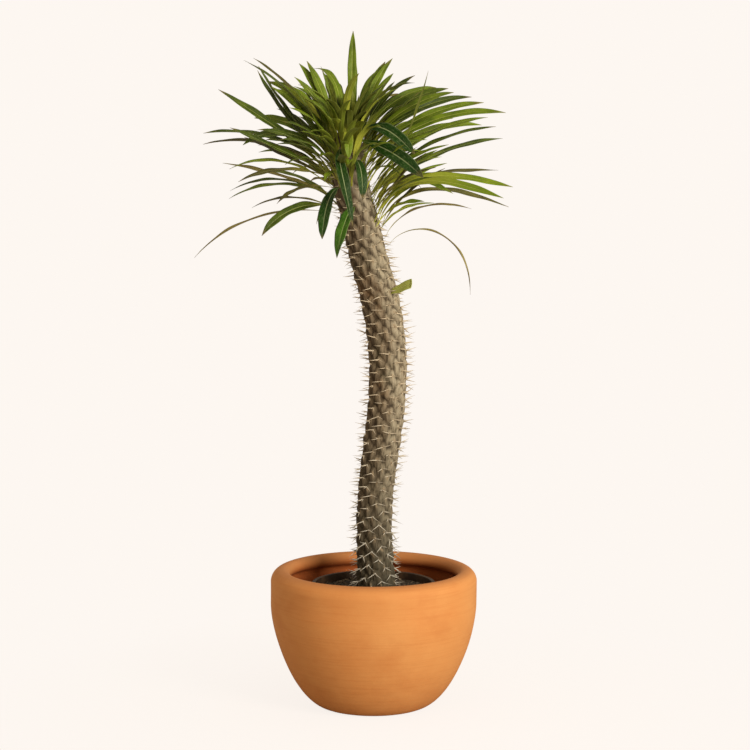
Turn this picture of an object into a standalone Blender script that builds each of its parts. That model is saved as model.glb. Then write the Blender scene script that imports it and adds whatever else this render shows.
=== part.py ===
"""Potted pachypodium: a spiny stem with a crown of long leaves, in soil, in a nursery pot, in a terracotta pot.

Metres, +Z up, -Y is the front. The origin is the middle of the terracotta pot's flat foot.
"""

import math
from collections import namedtuple

import bmesh
import bpy
import numpy as np
from mathutils.bvhtree import BVHTree

# ---- Clearances ------------------------------------------------------------------------------
SEAT_GAP = 0.0003            # between pieces that touch in the real plant
LEAF_GAP = 0.0004            # least distance kept between two leaves

# ---- Terracotta pot --------------------------------------------------------------------------
POT_HEIGHT = 0.200
POT_RADIUS = 0.150           # widest, from the belly's top to the shoulder
POT_FOOT_RADIUS = 0.0754
POT_BELLY_DROP = 0.051       # from the top down to where the curved belly becomes upright
POT_BELLY_POWER = 1.6        # 2 is an ellipse; less is a straighter flank
POT_WALL = 0.014
POT_FLOOR = 0.014
POT_SHOULDER = 0.0177        # radius of the rounded outer shoulder
POT_LIP_ROLL = 0.010         # radius of the lip's rolled inner edge
POT_LIP_WIDTH = 0.028        # from the outside to the lip's inner edge
POT_ROLL_FROM = 112          # the lip's roll runs between these angles, in degrees from straight out
POT_ROLL_TO = 235
POT_UNDERCUT_DROP = 0.020    # from the lip's inner edge down to the full inner wall
POT_SIDES = 48
POT_BELLY_POINTS = 11
POT_INNER_POINTS = 9
POT_ARC_POINTS = 6

# ---- Nursery pot -----------------------------------------------------------------------------
NURSERY_RIM_DROP = 0.0207    # from the terracotta lip's top down to the nursery pot's rim
NURSERY_FOOT_ROOM = 0.0014   # round the nursery pot's foot, to the terracotta wall
FINGER_ROOM = 0.032          # round the nursery pot's rim, to the terracotta lip
NURSERY_WALL = 0.0015
NURSERY_RIM_BAND = 0.008     # height of the rim band
NURSERY_RIM_STEP = 0.004     # how far the rim band stands out from the wall
NURSERY_SIDES = 36
DRAIN_HOLES = 6
DRAIN_RADIUS = 0.005
DRAIN_CIRCLE = 0.040         # radius of the circle that the drain holes lie on
DRAIN_SIDES = 10

# ---- Potting soil ----------------------------------------------------------------------------
SOIL_BELOW_RIM = 0.011
SOIL_MOUND = 0.004           # rise of the soil's surface at the stem
SOIL_MOUND_TOP = 0.006       # width of the mound's level top round the stem
SOIL_MOUND_HALFWAY = 0.35    # share of the mound's rise that is reached halfway in from the rim
SOIL_SIDES = 36

# ---- Stem ------------------------------------------------------------------------------------
STEM_BURIED = 0.060          # length of stem below the soil's surface
STEM_SOCKET_GAP = 0.0005
# Height above the soil, sideways place of the middle, and radius, from the base to the tip.
STEM_LINE = [
    (0.000, 0.004, 0.0275),
    (0.040, 0.003, 0.0258),
    (0.090, 0.001, 0.0250),
    (0.140, 0.003, 0.0250),
    (0.206, 0.011, 0.0257),
    (0.262, 0.018, 0.0262),
    (0.327, 0.021, 0.0264),
    (0.387, 0.016, 0.0270),
    (0.437, 0.006, 0.0274),
    (0.484, -0.007, 0.0272),
    (0.537, -0.019, 0.0264),
    (0.582, -0.031, 0.0258),
    (0.622, -0.037, 0.0240),
    (0.650, -0.037, 0.0195),
    (0.672, -0.035, 0.0110),
]
STEM_SCALE = 1.0             # stretches the stem and crown above the soil
STEM_WIDTH_SCALE = 1.0       # thickens the stem
STEM_SIDES = 26
STEM_RINGS = 104
STEM_BUTT_SCALE = 0.62       # radius of the buried end as a share of the base
STEM_STRAIGHT_SHARE = 0.25   # share of the buried length that keeps the base's radius
STEM_TIP_RISE = 0.35         # height of the tip's dome as a share of its radius
TUBERCLE_RISE = 0.0015       # height from one tubercle to the next along the spiral
TUBERCLE_TURN = -math.radians(137.508)
TUBERCLE_HEIGHT = 0.0032
TUBERCLE_REACH = 0.0105      # from a tubercle's tip to the pit around it
TUBERCLE_START = 0.004       # height above the soil at which the tubercles begin
TUBERCLE_GROWTH = 0.020      # height over which they reach their full size
CROWN_START = 0.500          # height above the soil at which the tubercles start to fade
CROWN_FADE = 0.060
CROWN_LOSS = 0.65            # share of their size that they lose in the crown

# ---- Leaves ----------------------------------------------------------------------------------
LEAF_THICKNESS = 0.0013
LEAF_FOLD = 0.12             # how far the edges rise, as a share of the width
LEAF_WIDTH_SCALE = 1.0
LEAF_LENGTH_SCALE = 1.0
PETIOLE_SHARE = 0.34         # width at the leaf's base as a share of its full width
LEAF_FULL_AT = 0.55          # share of the length at which a leaf reaches its full width
LEAF_TAPER_FROM = 0.60
LEAF_TAPER_POWER = 2.8
LEAF_ROLLED_AT = 0.30        # share of the length at which a leaf has its whole roll
LEAF_TIP_THINNING = 0.5      # share of its thickness that a leaf loses towards its tip
LEAF_STATIONS = (0.0, 0.08, 0.20, 0.33, 0.46, 0.58, 0.70, 0.82, 0.91, 0.97)
LEAF_STEPS = 48              # steps used to work out a leaf's curved middle line
TURN_STEP = math.radians(1.5)
TURN_TRIES = 16

# The base's height is above the soil. Heading 0 is +X and 90 is the back; rise, droop and sweep are in
# degrees too. With a bend below 1 the leaf droops near its base, and with one above 1 near its tip.
# Roll turns the upper face towards the front.
LeafPlan = namedtuple("LeafPlan", "name height heading rise droop bend length width sweep roll")
LEAVES = [
    ("top_leaf_1", 0.666, 75, 88, 4, 1.2, 0.141, 0.0128, 0, 0),
    ("top_leaf_2", 0.662, 38, 73, 20, 1.2, 0.114, 0.0150, 0, 25),
    ("top_leaf_3", 0.658, 58, 72, 26, 1.2, 0.106, 0.0135, 0, 25),
    ("top_leaf_4", 0.660, 48, 88, 4, 1.2, 0.114, 0.0110, 0, 0),
    ("top_leaf_5", 0.660, 120, 89, 95, 2.0, 0.126, 0.0125, 20, 10),
    ("top_leaf_6", 0.654, 152, 74, 26, 1.2, 0.122, 0.0145, 10, 40),
    ("top_leaf_7", 0.646, 172, 66, 24, 1.2, 0.100, 0.0150, 0, 50),
    ("top_leaf_8", 0.658, 140, 72, 12, 1.2, 0.116, 0.0140, 10, 35),
    ("top_leaf_9", 0.664, 336, 72, 74, 1.2, 0.116, 0.0140, 5, 10),
    ("top_leaf_10", 0.660, 12, 78, 74, 1.2, 0.088, 0.0085, 0, 20),
    ("left_leaf_1", 0.616, 181, 36, 4, 1.2, 0.190, 0.0135, 0, 45),
    ("left_leaf_2", 0.622, 165, 40, -22, 1.2, 0.170, 0.0125, 0, 45),
    ("left_leaf_3", 0.630, 174, 42, -20, 1.2, 0.164, 0.0105, 0, 35),
    ("left_leaf_4", 0.642, 186, 60, 34, 1.2, 0.176, 0.0130, 0, 50),
    ("left_leaf_5", 0.642, 160, 60, 30, 1.2, 0.178, 0.0125, 0, 45),
    ("left_leaf_6", 0.640, 148, 66, 58, 1.2, 0.158, 0.0135, 0, 50),
    ("left_leaf_7", 0.616, 190, 33, 42, 1.2, 0.190, 0.0125, 0, 40),
    ("left_leaf_8", 0.606, 176, 34, 48, 1.2, 0.192, 0.0125, 0, 40),
    ("left_leaf_9", 0.604, 202, 24, 2, 1.2, 0.164, 0.0145, 0, 35),
    ("left_leaf_10", 0.624, 198, 48, 86, 1.2, 0.142, 0.0140, 0, 50),
    ("left_leaf_11", 0.594, 160, 28, 8, 1.2, 0.150, 0.0100, 0, 30),
    ("left_leaf_12", 0.574, 176, 22, 14, 1.2, 0.166, 0.0100, 0, 25),
    ("left_leaf_13", 0.598, 206, 18, 44, 1.2, 0.148, 0.0100, 0, 30),
    ("left_leaf_14", 0.584, 198, 12, 60, 1.2, 0.090, 0.0100, 0, 20),
    ("left_leaf_15", 0.554, 206, 20, 74, 1.0, 0.134, 0.0155, 0, 40),
    ("left_leaf_16", 0.548, 181, 9, 58, 1.2, 0.226, 0.0085, 0, 20),
    ("left_leaf_17", 0.630, 166, 46, 50, 1.2, 0.140, 0.0140, 0, 55),
    ("right_leaf_1", 0.652, 8, 62, 60, 1.2, 0.136, 0.0150, 0, 60),
    ("right_leaf_2", 0.644, 352, 56, 50, 1.2, 0.150, 0.0150, 0, 62),
    ("right_leaf_3", 0.638, 338, 50, 44, 1.2, 0.162, 0.0155, 0, 60),
    ("right_leaf_4", 0.634, 16, 48, 48, 1.2, 0.186, 0.0140, 0, 60),
    ("right_leaf_5", 0.626, 358, 44, 42, 1.2, 0.190, 0.0145, 0, 58),
    ("right_leaf_6", 0.618, 345, 42, 50, 1.2, 0.222, 0.0140, 0, 60),
    ("right_leaf_7", 0.608, 20, 42, 48, 1.2, 0.196, 0.0135, 0, 55),
    ("right_leaf_8", 0.568, 332, 53, -22, 1.2, 0.202, 0.0085, 0, 15),
    ("right_leaf_9", 0.598, 2, 44, 38, 1.2, 0.194, 0.0120, 0, 35),
    ("right_leaf_10", 0.586, 346, 42, 38, 1.2, 0.204, 0.0110, 0, 30),
    ("right_leaf_11", 0.574, 12, 38, 34, 1.2, 0.212, 0.0110, 0, 35),
    ("right_leaf_12", 0.552, 24, 56, 56, 0.40, 0.214, 0.0085, 0, 30),
    ("right_leaf_13", 0.546, 342, 72, 84, 0.40, 0.222, 0.0120, 0, 50),
    ("right_leaf_14", 0.536, 328, 78, 94, 0.40, 0.232, 0.0125, 0, 50),
    ("right_leaf_15", 0.530, 10, 78, 97, 0.40, 0.214, 0.0095, 0, 40),
    ("right_leaf_16", 0.560, 352, 84, 112, 0.50, 0.134, 0.0115, 0, 40),
    ("right_leaf_17", 0.500, 4, 56, 146, 0.72, 0.190, 0.0085, 0, 20),
    ("right_leaf_18", 0.512, 346, 66, 80, 0.70, 0.146, 0.0085, 0, 20),
    ("front_leaf_1", 0.584, 242, 10, 90, 0.5, 0.102, 0.0165, 0, 0),
    ("front_leaf_2", 0.556, 264, 14, 92, 0.50, 0.104, 0.0170, -48, 0),
    ("front_leaf_3", 0.638, 254, 8, 84, 0.40, 0.146, 0.0130, 78, 0),
    ("front_leaf_4", 0.650, 272, 66, 158, 0.70, 0.074, 0.0130, 0, 0),
    ("front_leaf_5", 0.622, 290, 20, 110, 0.50, 0.076, 0.0125, 0, 0),
    ("front_leaf_6", 0.652, 314, -8, 28, 1.0, 0.143, 0.0210, 0, 15),
    ("front_leaf_7", 0.658, 324, 50, 90, 0.40, 0.112, 0.0200, 0, 20),
    ("back_leaf_1", 0.600, 88, 44, 60, 1.2, 0.190, 0.0130, 0, 20),
    ("back_leaf_2", 0.560, 62, 38, 66, 1.1, 0.190, 0.0130, 0, 25),
    ("back_leaf_3", 0.570, 118, 40, 62, 1.1, 0.185, 0.0130, 0, 25),
]

# ---- Cut leaf stub ---------------------------------------------------------------------------
STUB_HEIGHT = 0.437          # above the soil
STUB_HEADING = math.radians(318)
STUB_RISE = math.radians(20)
STUB_LENGTH = 0.036
STUB_WIDTH = 0.012
STUB_ROLL = math.radians(70)
STUB_BASE_SHARE = 0.6        # width at the stem as a share of the full width
STUB_FULL_AT = 0.5           # share of the length at which it reaches its full width
STUB_STEPS = 4

# ---- Finishes: base colour, roughness, metallic ----------------------------------------------
TERRACOTTA = ("terracotta", (0.62, 0.27, 0.09), 0.75, 0.0)
BLACK_PLASTIC = ("nursery_plastic", (0.02, 0.02, 0.02), 0.50, 0.0)
SOIL = ("potting_soil", (0.03, 0.02, 0.015), 0.95, 0.0)
BARK = ("stem_bark", (0.26, 0.20, 0.13), 0.85, 0.0)
LEAF_GREEN = ("leaf_green", (0.09, 0.17, 0.02), 0.40, 0.0)
PALE_GREEN = ("cut_leaf_green", (0.28, 0.34, 0.06), 0.50, 0.0)

# ---- Places worked out from the sizes --------------------------------------------------------
POT_BELLY_HEIGHT = POT_HEIGHT - POT_BELLY_DROP
NURSERY_BASE_Z = POT_FLOOR + SEAT_GAP
NURSERY_RIM_Z = POT_HEIGHT - NURSERY_RIM_DROP
NURSERY_BAND_Z = NURSERY_RIM_Z - NURSERY_RIM_BAND
NURSERY_FOOT_RADIUS = POT_FOOT_RADIUS - POT_WALL - NURSERY_FOOT_ROOM
NURSERY_RIM_RADIUS = POT_RADIUS - POT_LIP_WIDTH - FINGER_ROOM
SOIL_Z = NURSERY_RIM_Z - SOIL_BELOW_RIM
STEM_BASE_X = STEM_LINE[0][1]
STEM_BASE_RADIUS = STEM_LINE[0][2] * STEM_WIDTH_SCALE
STEM_TOP = STEM_LINE[-1][0] * STEM_SCALE


def clear_scene():
    """Remove every object, so that the script starts from an empty scene."""
    for obj in list(bpy.data.objects):
        bpy.data.objects.remove(obj, do_unlink=True)


def finish_material(finish):
    """The Principled material of a finish, made once."""
    name, colour, roughness, metallic = finish
    material = bpy.data.materials.get(name)
    if material is None:
        material = bpy.data.materials.new(name)
        material.use_nodes = True
        shader = material.node_tree.nodes["Principled BSDF"]
        shader.inputs["Base Color"].default_value = (*colour, 1.0)
        shader.inputs["Roughness"].default_value = roughness
        shader.inputs["Metallic"].default_value = metallic
        material.diffuse_color = (*colour, 1.0)
    return material


def add_object(name, bm, finish, smooth_angle=math.radians(40)):
    """Put a closed bmesh into the scene as a named object, shaded smooth."""
    bmesh.ops.recalc_face_normals(bm, faces=bm.faces[:])
    for face in bm.faces:
        face.smooth = True
    mesh = bpy.data.meshes.new(name)
    bm.to_mesh(mesh)
    bm.free()
    mesh.set_sharp_from_angle(angle=smooth_angle)
    mesh.materials.append(finish_material(finish))
    obj = bpy.data.objects.new(name, mesh)
    bpy.context.scene.collection.objects.link(obj)
    return obj


def arc(centre_r, centre_z, radius_r, radius_z, start, end, count):
    """Points on an elliptical arc in the (radius, height) plane, both ends included."""
    angles = np.radians(np.linspace(start, end, count))
    return [(centre_r + radius_r * math.cos(a), centre_z + radius_z * math.sin(a)) for a in angles]


def belly(foot_radius, foot_z, count):
    """The curved flank, from its foot to the height where it becomes upright.

    Both sides of the wall share the curve's shape, so the wall keeps its thickness.
    """
    power = 2.0 / POT_BELLY_POWER
    points = []
    for turn in np.linspace(0.0, math.pi / 2, count):
        out = math.sin(turn) ** power
        up = 1.0 - max(math.cos(turn), 0.0) ** power
        points.append((foot_radius + (POT_RADIUS - POT_FOOT_RADIUS) * out,
                       foot_z + (POT_BELLY_HEIGHT - foot_z) * up))
    return points


def spin_profile(profile, sides, centre_x=0.0):
    """A closed solid: a (radius, height) profile turned once round a vertical line."""
    bm = bmesh.new()
    verts = [bm.verts.new((centre_x + r, 0.0, z)) for r, z in profile]
    edges = [bm.edges.new(pair) for pair in zip(verts, verts[1:])]
    bmesh.ops.spin(bm, geom=verts + edges, cent=(centre_x, 0.0, 0.0), axis=(0.0, 0.0, 1.0),
                   angle=2.0 * math.pi, steps=sides, use_merge=True)
    bmesh.ops.remove_doubles(bm, verts=bm.verts[:], dist=1e-6)
    return bm


def make_terracotta_pot():
    """The bowl with its flat foot, rounded shoulder and rolled lip."""
    upright_top = POT_HEIGHT - POT_SHOULDER
    lip_edge = POT_RADIUS - POT_LIP_WIDTH
    lip_roll_r = POT_RADIUS - POT_SHOULDER - lip_edge
    lip_z = POT_HEIGHT - POT_LIP_ROLL
    outside = [(0.0, 0.0)] + belly(POT_FOOT_RADIUS, 0.0, POT_BELLY_POINTS)
    shoulder = arc(POT_RADIUS - POT_SHOULDER, upright_top, POT_SHOULDER, POT_SHOULDER, 0, 90, POT_ARC_POINTS)
    roll = arc(lip_edge + lip_roll_r, lip_z, lip_roll_r, POT_LIP_ROLL, POT_ROLL_FROM, POT_ROLL_TO,
               POT_ARC_POINTS)
    under_z = lip_z - POT_UNDERCUT_DROP
    inside = belly(POT_FOOT_RADIUS - POT_WALL, POT_FLOOR, POT_INNER_POINTS)
    wall_top = [(POT_RADIUS - POT_WALL, under_z)]
    floor = [(0.0, POT_FLOOR)]
    profile = outside + shoulder + roll + wall_top + inside[::-1] + floor
    return add_object("terracotta_pot", spin_profile(profile, POT_SIDES), TERRACOTTA)


def nursery_wall_radius(z, inset=0.0):
    """The nursery pot's outside radius below its rim band, less an inset, at a height."""
    top = NURSERY_RIM_RADIUS - NURSERY_RIM_STEP
    share = (z - NURSERY_BASE_Z) / (NURSERY_BAND_Z - NURSERY_BASE_Z)
    return NURSERY_FOOT_RADIUS + (top - NURSERY_FOOT_RADIUS) * share - inset


def make_nursery_pot():
    """The thin tapered grower's pot with its rim band and drain holes."""
    base_z = NURSERY_BASE_Z
    floor_z = base_z + NURSERY_WALL
    band_z = NURSERY_BAND_Z
    round_off = NURSERY_WALL / 3
    rim_inside = NURSERY_RIM_RADIUS - NURSERY_RIM_STEP - NURSERY_WALL + round_off
    profile = [
        (0.0, base_z),
        (NURSERY_FOOT_RADIUS - NURSERY_WALL, base_z),
        (NURSERY_FOOT_RADIUS, base_z + NURSERY_WALL),
        (nursery_wall_radius(band_z), band_z),
        (NURSERY_RIM_RADIUS - round_off, band_z),
        (NURSERY_RIM_RADIUS, band_z + round_off),
        (NURSERY_RIM_RADIUS, NURSERY_RIM_Z - round_off),
        (NURSERY_RIM_RADIUS - round_off, NURSERY_RIM_Z),
        (rim_inside + round_off, NURSERY_RIM_Z),
        (rim_inside, NURSERY_RIM_Z - round_off),
        (nursery_wall_radius(band_z, NURSERY_WALL), band_z),
        (nursery_wall_radius(floor_z, NURSERY_WALL), floor_z),
        (0.0, floor_z),
    ]
    obj = add_object("nursery_pot", spin_profile(profile, NURSERY_SIDES), BLACK_PLASTIC)
    cutter = bmesh.new()
    for index in range(DRAIN_HOLES):
        turn = 2.0 * math.pi * index / DRAIN_HOLES
        made = bmesh.ops.create_cone(cutter, cap_ends=True, segments=DRAIN_SIDES, radius1=DRAIN_RADIUS,
                                     radius2=DRAIN_RADIUS, depth=6 * NURSERY_WALL)
        bmesh.ops.translate(cutter, verts=made["verts"],
                            vec=(DRAIN_CIRCLE * math.cos(turn), DRAIN_CIRCLE * math.sin(turn), base_z))
    drill(obj, cutter)
    return obj


def drill(obj, cutter):
    """Cut a bmesh of closed cutters out of an object, and keep the result as its mesh."""
    mesh = bpy.data.meshes.new("drill")
    cutter.to_mesh(mesh)
    cutter.free()
    tool = bpy.data.objects.new("drill", mesh)
    bpy.context.scene.collection.objects.link(tool)
    cut = obj.modifiers.new("drill", "BOOLEAN")
    cut.operation = "DIFFERENCE"
    cut.solver = "EXACT"
    cut.object = tool
    bpy.context.view_layer.update()
    depsgraph = bpy.context.evaluated_depsgraph_get()
    result = bpy.data.meshes.new_from_object(obj.evaluated_get(depsgraph))
    obj.modifiers.remove(cut)
    obj.data = result
    bpy.data.objects.remove(tool, do_unlink=True)


def make_soil():
    """The soil: it fills the nursery pot to below the rim, with a socket for the stem.

    Each ring has a radius, a height, and how far its middle has moved from the pot's to the stem's.
    """
    bottom = NURSERY_BASE_Z + NURSERY_WALL + SEAT_GAP
    inset = NURSERY_WALL + SEAT_GAP
    top_radius = nursery_wall_radius(SOIL_Z, inset)
    socket_bottom = SOIL_Z - STEM_BURIED - SEAT_GAP
    socket_radius = STEM_BASE_RADIUS + STEM_SOCKET_GAP
    butt_radius = STEM_BASE_RADIUS * STEM_BUTT_SCALE + STEM_SOCKET_GAP
    rings = [
        (0.0, bottom, 1.0),
        (nursery_wall_radius(bottom, inset + SEAT_GAP), bottom, 0.0),
        (top_radius, SOIL_Z, 0.0),
        (0.5 * (top_radius + socket_radius), SOIL_Z + SOIL_MOUND_HALFWAY * SOIL_MOUND, 0.5),
        (socket_radius + SOIL_MOUND_TOP, SOIL_Z + SOIL_MOUND, 1.0),
        (socket_radius, SOIL_Z + SOIL_MOUND, 1.0),
        (socket_radius, SOIL_Z - STEM_STRAIGHT_SHARE * STEM_BURIED, 1.0),
        (butt_radius, socket_bottom, 1.0),
        (0.0, socket_bottom, 1.0),
    ]
    bm = bmesh.new()
    loops = []
    for radius, z, shift in rings:
        middle = STEM_BASE_X * shift
        if radius == 0.0:
            loops.append([bm.verts.new((middle, 0.0, z))])
            continue
        turns = [2.0 * math.pi * k / SOIL_SIDES for k in range(SOIL_SIDES)]
        loops.append([bm.verts.new((middle + radius * math.cos(a), radius * math.sin(a), z)) for a in turns])
    join_loops(bm, loops)
    return add_object("potting_soil", bm, SOIL)


def join_loops(bm, loops):
    """Join neighbouring loops of points with faces; a loop of one point is a pole."""
    for lower, upper in zip(loops, loops[1:]):
        count = max(len(lower), len(upper))
        for k in range(count):
            after = (k + 1) % count
            corners = [lower[k % len(lower)], lower[after % len(lower)],
                       upper[after % len(upper)], upper[k % len(upper)]]
            bm.faces.new(list(dict.fromkeys(corners)))


def join_blade(bm, loops):
    """Join a thin blade's loops with triangles.

    The first half of each loop runs over the upper wall and the second half back under the lower one. The
    lower wall's faces are cut along the other diagonal, so where a blade twists its two walls stay apart.
    """
    for lower, upper in zip(loops, loops[1:]):
        count = len(lower)
        for k in range(count):
            after = (k + 1) % count
            if k < count // 2:
                bm.faces.new((lower[k], lower[after], upper[after]))
                bm.faces.new((lower[k], upper[after], upper[k]))
            else:
                bm.faces.new((lower[k], lower[after], upper[k]))
                bm.faces.new((lower[after], upper[after], upper[k]))


def stem_at(height):
    """The stem's middle x and radius at heights above the soil.

    A cubic runs through the points of STEM_LINE, with each point's slope taken from its neighbours.
    """
    line = np.array(STEM_LINE)
    knots = line[:, 0] * STEM_SCALE
    height = np.clip(np.asarray(height, dtype=float), knots[0], knots[-1])
    index = np.clip(np.searchsorted(knots, height, side="right") - 1, 0, len(knots) - 2)
    span = knots[index + 1] - knots[index]
    share = (height - knots[index]) / span
    found = []
    for values in (line[:, 1], line[:, 2] * STEM_WIDTH_SCALE):
        slopes = np.gradient(values, knots)
        start, end = values[index], values[index + 1]
        rise_in, rise_out = slopes[index] * span, slopes[index + 1] * span
        found.append(start * (1 + 2 * share) * (1 - share) ** 2 + rise_in * share * (1 - share) ** 2
                     + end * share ** 2 * (3 - 2 * share) + rise_out * share ** 2 * (share - 1))
    return found[0], found[1]


def tubercle_strength(height):
    """How tall the tubercles are at a height above the soil, from 0 to 1."""
    fade_in = np.clip((height - TUBERCLE_START) / TUBERCLE_GROWTH, 0.0, 1.0)
    fade_out = 1.0 - CROWN_LOSS * np.clip((height - CROWN_START * STEM_SCALE) / CROWN_FADE, 0.0, 1.0)
    return fade_in * fade_out


def tubercle_relief(turn, height, radius):
    """How far the surface stands out at points given by turn and height, from 0 at a pit to 1 at a tip.

    The tubercles stand on one spiral, each a golden angle on from the last.
    """
    number = np.arange(int(STEM_TOP / TUBERCLE_RISE))
    tip_turn = number * TUBERCLE_TURN
    tip_height = (number + 0.5) * TUBERCLE_RISE
    across = (turn[:, None] - tip_turn[None, :] + math.pi) % (2 * math.pi) - math.pi
    distance = np.hypot(across * radius[:, None], height[:, None] - tip_height[None, :]).min(axis=1)
    return np.clip(1.0 - distance / TUBERCLE_REACH, 0.0, 1.0)


def make_stem():
    """The stem, with its spiral tubercles, from its buried end to the growing tip.

    Above the soil, every second ring is turned by half a step, so that the tubercles come out round.
    """
    turns = np.arange(STEM_SIDES) * 2.0 * math.pi / STEM_SIDES
    butt_z = SOIL_Z - STEM_BURIED
    straight_z = SOIL_Z - STEM_STRAIGHT_SHARE * STEM_BURIED
    bm = bmesh.new()
    loops = [[bm.verts.new((STEM_BASE_X, 0.0, butt_z))]]
    for radius, z in ((STEM_BASE_RADIUS * STEM_BUTT_SCALE, butt_z), (STEM_BASE_RADIUS, straight_z)):
        loops.append([bm.verts.new((STEM_BASE_X + radius * math.cos(a), radius * math.sin(a), z)) for a in turns])
    half_turned = [False] * len(loops)
    for ring, height in enumerate(np.linspace(0.0, STEM_TOP, STEM_RINGS)):
        half_turned.append(ring % 2 == 1)
        shifted = turns + half_turned[-1] * math.pi / STEM_SIDES
        middle, radius = (float(v) for v in stem_at(height))
        level = np.full(STEM_SIDES, height)
        relief = tubercle_relief(shifted, level, np.full(STEM_SIDES, radius))
        out = radius + TUBERCLE_HEIGHT * tubercle_strength(height) * (relief - 0.5)
        loops.append([bm.verts.new((middle + out[k] * math.cos(a), out[k] * math.sin(a), SOIL_Z + height))
                      for k, a in enumerate(shifted)])
    middle, radius = (float(v) for v in stem_at(STEM_TOP))
    join_loops(bm, loops[:2])
    join_staggered(bm, loops[1:], half_turned[1:])
    tip = [bm.verts.new((middle, 0.0, SOIL_Z + STEM_TOP + STEM_TIP_RISE * radius))]
    join_loops(bm, [loops[-1], tip])
    return add_object("stem", bm, BARK, math.radians(180))


def join_staggered(bm, loops, half_turned):
    """Join loops with triangles, where some loops are turned by half a step."""
    for index, (lower, upper) in enumerate(zip(loops, loops[1:])):
        leans_on = half_turned[index] and not half_turned[index + 1]
        for k in range(len(lower)):
            after = (k + 1) % len(lower)
            if leans_on:
                bm.faces.new((lower[k], lower[after], upper[after]))
                bm.faces.new((lower[k], upper[after], upper[k]))
            else:
                bm.faces.new((lower[k], lower[after], upper[k]))
                bm.faces.new((lower[after], upper[after], upper[k]))


def leaf_frames(height, heading, rise, droop, bend, length, sweep, roll, standoff, steps=LEAF_STEPS):
    """A leaf's middle line with its side and up directions at each step.

    The elevation falls from rise by droop along the length. With a bend of 1 or more it falls as the share
    of the length to the power bend. With one below 1 the share still to come is taken to the power 1 / bend,
    and what that leaves of 1 is the part of the droop done so far. The heading turns by sweep, and the upper
    face rolls towards the front over the first stretch.
    """
    middle, radius = (float(v) for v in stem_at(height))
    out = radius + standoff
    point = np.array([middle + out * math.cos(heading), out * math.sin(heading), SOIL_Z + height])
    share = np.linspace(0.0, 1.0, steps + 1)
    drooped = share ** bend if bend >= 1.0 else 1.0 - (1.0 - share) ** (1.0 / bend)
    elevation = rise - droop * drooped
    course = heading + sweep * share
    forward = np.stack([np.cos(elevation) * np.cos(course), np.cos(elevation) * np.sin(course),
                        np.sin(elevation)], axis=1)
    side = np.stack([-np.sin(course), np.cos(course), np.zeros_like(course)], axis=1)
    rolled = roll * np.minimum(1.0, share / LEAF_ROLLED_AT)[:, None] * math.copysign(1.0, math.cos(heading))
    flat_up = np.cross(forward, side)
    up = flat_up * np.cos(rolled) - side * np.sin(rolled)
    side = side * np.cos(rolled) + flat_up * np.sin(rolled)
    between = 0.5 * (forward[1:] + forward[:-1]) * (length / steps)
    line = np.vstack([point, point + np.cumsum(between, axis=0)])
    return share, line, side, up


def blade_width(share):
    """A leaf's width at a share of its length: narrow at the base, widest past the middle, pointed."""
    opening = PETIOLE_SHARE + (1 - PETIOLE_SHARE) * np.sin(math.pi / 2 * np.minimum(1.0, share / LEAF_FULL_AT))
    taper = 1.0 - np.maximum(0.0, (share - LEAF_TAPER_FROM) / (1 - LEAF_TAPER_FROM)) ** LEAF_TAPER_POWER
    return opening * taper


def leaf_bmesh(plan, turned, grow=0.0):
    """A leaf as a closed bmesh with a shallow V across it.

    Grow adds that much on every side, which is how the room between leaves is tested.
    """
    height = plan.height * STEM_SCALE
    standoff = 0.5 * TUBERCLE_HEIGHT * float(tubercle_strength(height)) + LEAF_THICKNESS + SEAT_GAP
    share, line, side, up = leaf_frames(
        height, math.radians(plan.heading) + turned, math.radians(plan.rise), math.radians(plan.droop),
        plan.bend, plan.length * LEAF_LENGTH_SCALE, math.radians(plan.sweep), math.radians(plan.roll), standoff)
    bm = bmesh.new()
    loops = []
    for station in LEAF_STATIONS:
        middle, across, above = (
            np.array([np.interp(station, share, table[:, axis]) for axis in range(3)])
            for table in (line, side, up))
        full = plan.width * LEAF_WIDTH_SCALE * float(blade_width(np.float64(station)))
        half = 0.5 * full + grow
        lift = LEAF_FOLD * full
        thick = 0.5 * LEAF_THICKNESS * (1.0 - LEAF_TIP_THINNING * station) + grow
        corners = (middle + across * half + above * lift, middle + above * thick,
                   middle - across * half + above * lift, middle - above * thick)
        loops.append([bm.verts.new(corner) for corner in corners])
    tip = [bm.verts.new(line[-1])]
    bm.faces.new(loops[0])
    join_blade(bm, loops)
    join_loops(bm, [loops[-1], tip])
    return bm


def surface_tree(bm):
    """A search tree of a bmesh's surface."""
    triangulated = bm.copy()
    bmesh.ops.triangulate(triangulated, faces=triangulated.faces[:])
    tree = BVHTree.FromBMesh(triangulated)
    triangulated.free()
    return tree


def make_leaves(stem):
    """Every leaf, each turned a little round the stem, if it must be, until it clears the earlier ones."""
    depsgraph = bpy.context.evaluated_depsgraph_get()
    taken = [BVHTree.FromObject(stem, depsgraph)]
    leaves = []
    for row in LEAVES:
        plan = LeafPlan(*row)
        bm = leaf_bmesh(plan, free_turn(plan, taken))
        taken.append(surface_tree(bm))
        leaves.append(add_object(plan.name, bm, LEAF_GREEN))
    return leaves


def free_turn(plan, taken):
    """The smallest turn round the stem, either way, at which a leaf touches nothing that stands."""
    for attempt in range(2 * TURN_TRIES + 1):
        turned = ((attempt + 1) // 2) * TURN_STEP * (1 if attempt % 2 else -1)
        trial = leaf_bmesh(plan, turned, grow=LEAF_GAP)
        tree = surface_tree(trial)
        trial.free()
        if not any(tree.overlap(other) for other in taken):
            break
    return turned


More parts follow.
